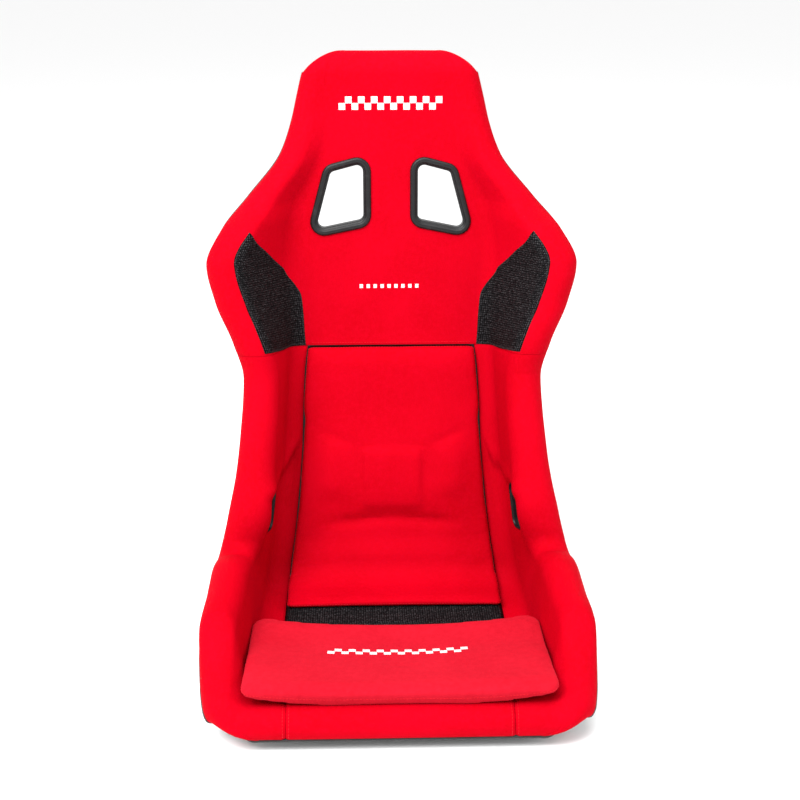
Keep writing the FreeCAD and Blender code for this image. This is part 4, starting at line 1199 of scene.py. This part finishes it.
def rim_line(s, half, top, bottom):
    """Line of points round a cushion's rim, half way between its top and bottom."""
    turn = np.linspace(1, -1, 62)[1:-1]
    place = np.concatenate([s, np.full(60, s[-1]), s[::-1], np.full(60, s[0]), s[:1]])
    x = np.concatenate([half, turn * half[-1], -half[::-1], -turn * half[0], half[:1]])
    return on_plane(place, x, (top(place, x) + bottom(place, x)) / 2)


s = rim_rows(BACK_FOOT + 1, BACK_TOP - 1, 120, 0.3)
rim = laid_on(back, rim_line(s, tray_half(s) - 2, back_top, back_bottom), ON_FABRIC)
sew("back_cushion_stitches", [rim], red_stitches, LOCKSTITCH, red_thread,
    "back_cushion")
s = rim_rows(THIGH_FRONT + 1, THIGH_REAR - 1, 90, 0.3)
rim = laid_on(thigh, rim_line(s, thigh_tip(s) - 1, thigh_top, thigh_bottom), ON_FABRIC)
sew("thigh_cushion_stitches", [rim], red_stitches, LOCKSTITCH, red_thread,
    "thigh_cushion")

# Embroidery: plain chequered bands in white satin stitch, on the headrest, the chest and the
# thigh cushion. Each square is a row of threads side by side.
THREAD_PITCH, SATIN_RADIUS, SATIN_RISE, TUCK = 0.00062, 0.00036, 0.00022, 0.0002
SQUARE, SMALL_SQUARE = 0.0104, 0.0058
HEADREST_BAND, CHEST_BAND = 808, 508


def chequers(columns, rows, size):
    """Points of the threads, across and up from the band's middle, in metres."""
    threads = []
    for row in range(rows):
        for column in range(columns):
            if (row + column) % 2:
                continue
            left = (column - columns / 2) * size
            foot = (row - rows / 2) * size
            for place in np.arange(left + THREAD_PITCH / 2, left + size, THREAD_PITCH):
                threads.append([(place, foot - TUCK), (place, foot + size / 2),
                                (place, foot + size + TUCK)])
    return np.array(threads)


def embroider(name, piece, threads, place, body):
    """Lays threads on a piece. place maps the band's across and up to points near the piece."""
    flat = threads.reshape(-1, 2)
    laid = laid_on(piece, place(flat[:, 0] / MM, flat[:, 1] / MM), SATIN_RISE)
    laid = laid.reshape(threads.shape[:2] + (3,))
    for end in (0, -1):
        laid[:, end] = laid_on(piece, laid[:, end], -ON_FABRIC)
    sew(name, laid, white_strands, {"Thread Radius": SATIN_RADIUS}, white_thread, body)


def on_back_panel(height):
    """Places a band on the upper cover, its middle at a height."""
    def place(across, up):
        target = np.stack([np.abs(across), height + up], -1)
        s, v = find(target, [0, 2], (SEAM, CROWN), (0.0, 3.0))
        return skin(s, np.sign(across) * v, -0.5)
    return place


THIGH_BAND = np.interp(-160.0, middle_line(line)[0], line)


def on_thigh_cushion(across, up):
    return on_plane(THIGH_BAND + up, across, thigh_top(THIGH_BAND + up, across))


embroider("headrest_embroidery", upper, chequers(16, 2, SQUARE), on_back_panel(HEADREST_BAND),
          "seat_shell")
embroider("chest_embroidery", upper, chequers(18, 1, SMALL_SQUARE), on_back_panel(CHEST_BAND),
          "seat_shell")
embroider("thigh_embroidery", thigh, chequers(20, 2, SQUARE), on_thigh_cushion,
          "thigh_cushion")

# Studio: a pale floor in a plain pale surround, four soft lights round the seat, and a camera
# that looks at it from the front and a little above.
FLOOR_SIDE, PALE = 40, (0.94, 0.94, 0.94, 1)
bpy.ops.mesh.primitive_plane_add(size=FLOOR_SIDE)
floor = bpy.context.object
floor.name = "studio_floor"
floor_paint = bpy.data.materials.new("pale floor")
floor_paint.use_nodes = True
floor_inputs = floor_paint.node_tree.nodes["Principled BSDF"].inputs
floor_inputs["Base Color"].default_value = PALE
floor_inputs["Roughness"].default_value = 0.9
floor.data.materials.append(floor_paint)

world = bpy.data.worlds.new("studio surround")
world.use_nodes = True
surround = world.node_tree.nodes["Background"].inputs
surround["Color"].default_value = (1, 1, 1, 1)
surround["Strength"].default_value = 1.0
bpy.context.scene.world = world
bpy.context.scene.view_settings.view_transform = "Standard"

# Name, place, side and power of each lamp
LAMPS = [("key softbox", (-1.3, -1.5, 2.4), 1.3, 95), ("left softbox", (-2.4, -0.6, 1.2), 1.6, 10),
         ("right softbox", (2.2, -1.2, 1.8), 1.6, 22), ("top softbox", (0, -0.9, 3.5), 2.2, 96)]
SEAT_MIDDLE, VIEW_MIDDLE = Vector((0, 0, 0.45)), Vector((0, 0, 0.453))


def facing(direction):
    return direction.to_track_quat("-Z", "Y").to_euler()


for name, place, size, power in LAMPS:
    lamp = bpy.data.lights.new(name, "AREA")
    lamp.shape, lamp.size, lamp.energy = "SQUARE", size, power
    holder = placed(name, lamp)
    holder.location = place
    holder.rotation_euler = facing(SEAT_MIDDLE - Vector(place))

camera = placed("camera", bpy.data.cameras.new("camera"))
azimuth, elevation, distance = math.radians(-1.5), math.radians(20), 1.9
back_way = Vector((math.sin(azimuth) * math.cos(elevation),
                   -math.cos(azimuth) * math.cos(elevation), math.sin(elevation)))
camera.location = VIEW_MIDDLE + back_way * distance
camera.rotation_euler = facing(-back_way)
camera.data.sensor_width, camera.data.lens = 36, 57.3
camera.data.shift_x, camera.data.shift_y = 0.00625, -0.03625
bpy.context.scene.camera = camera
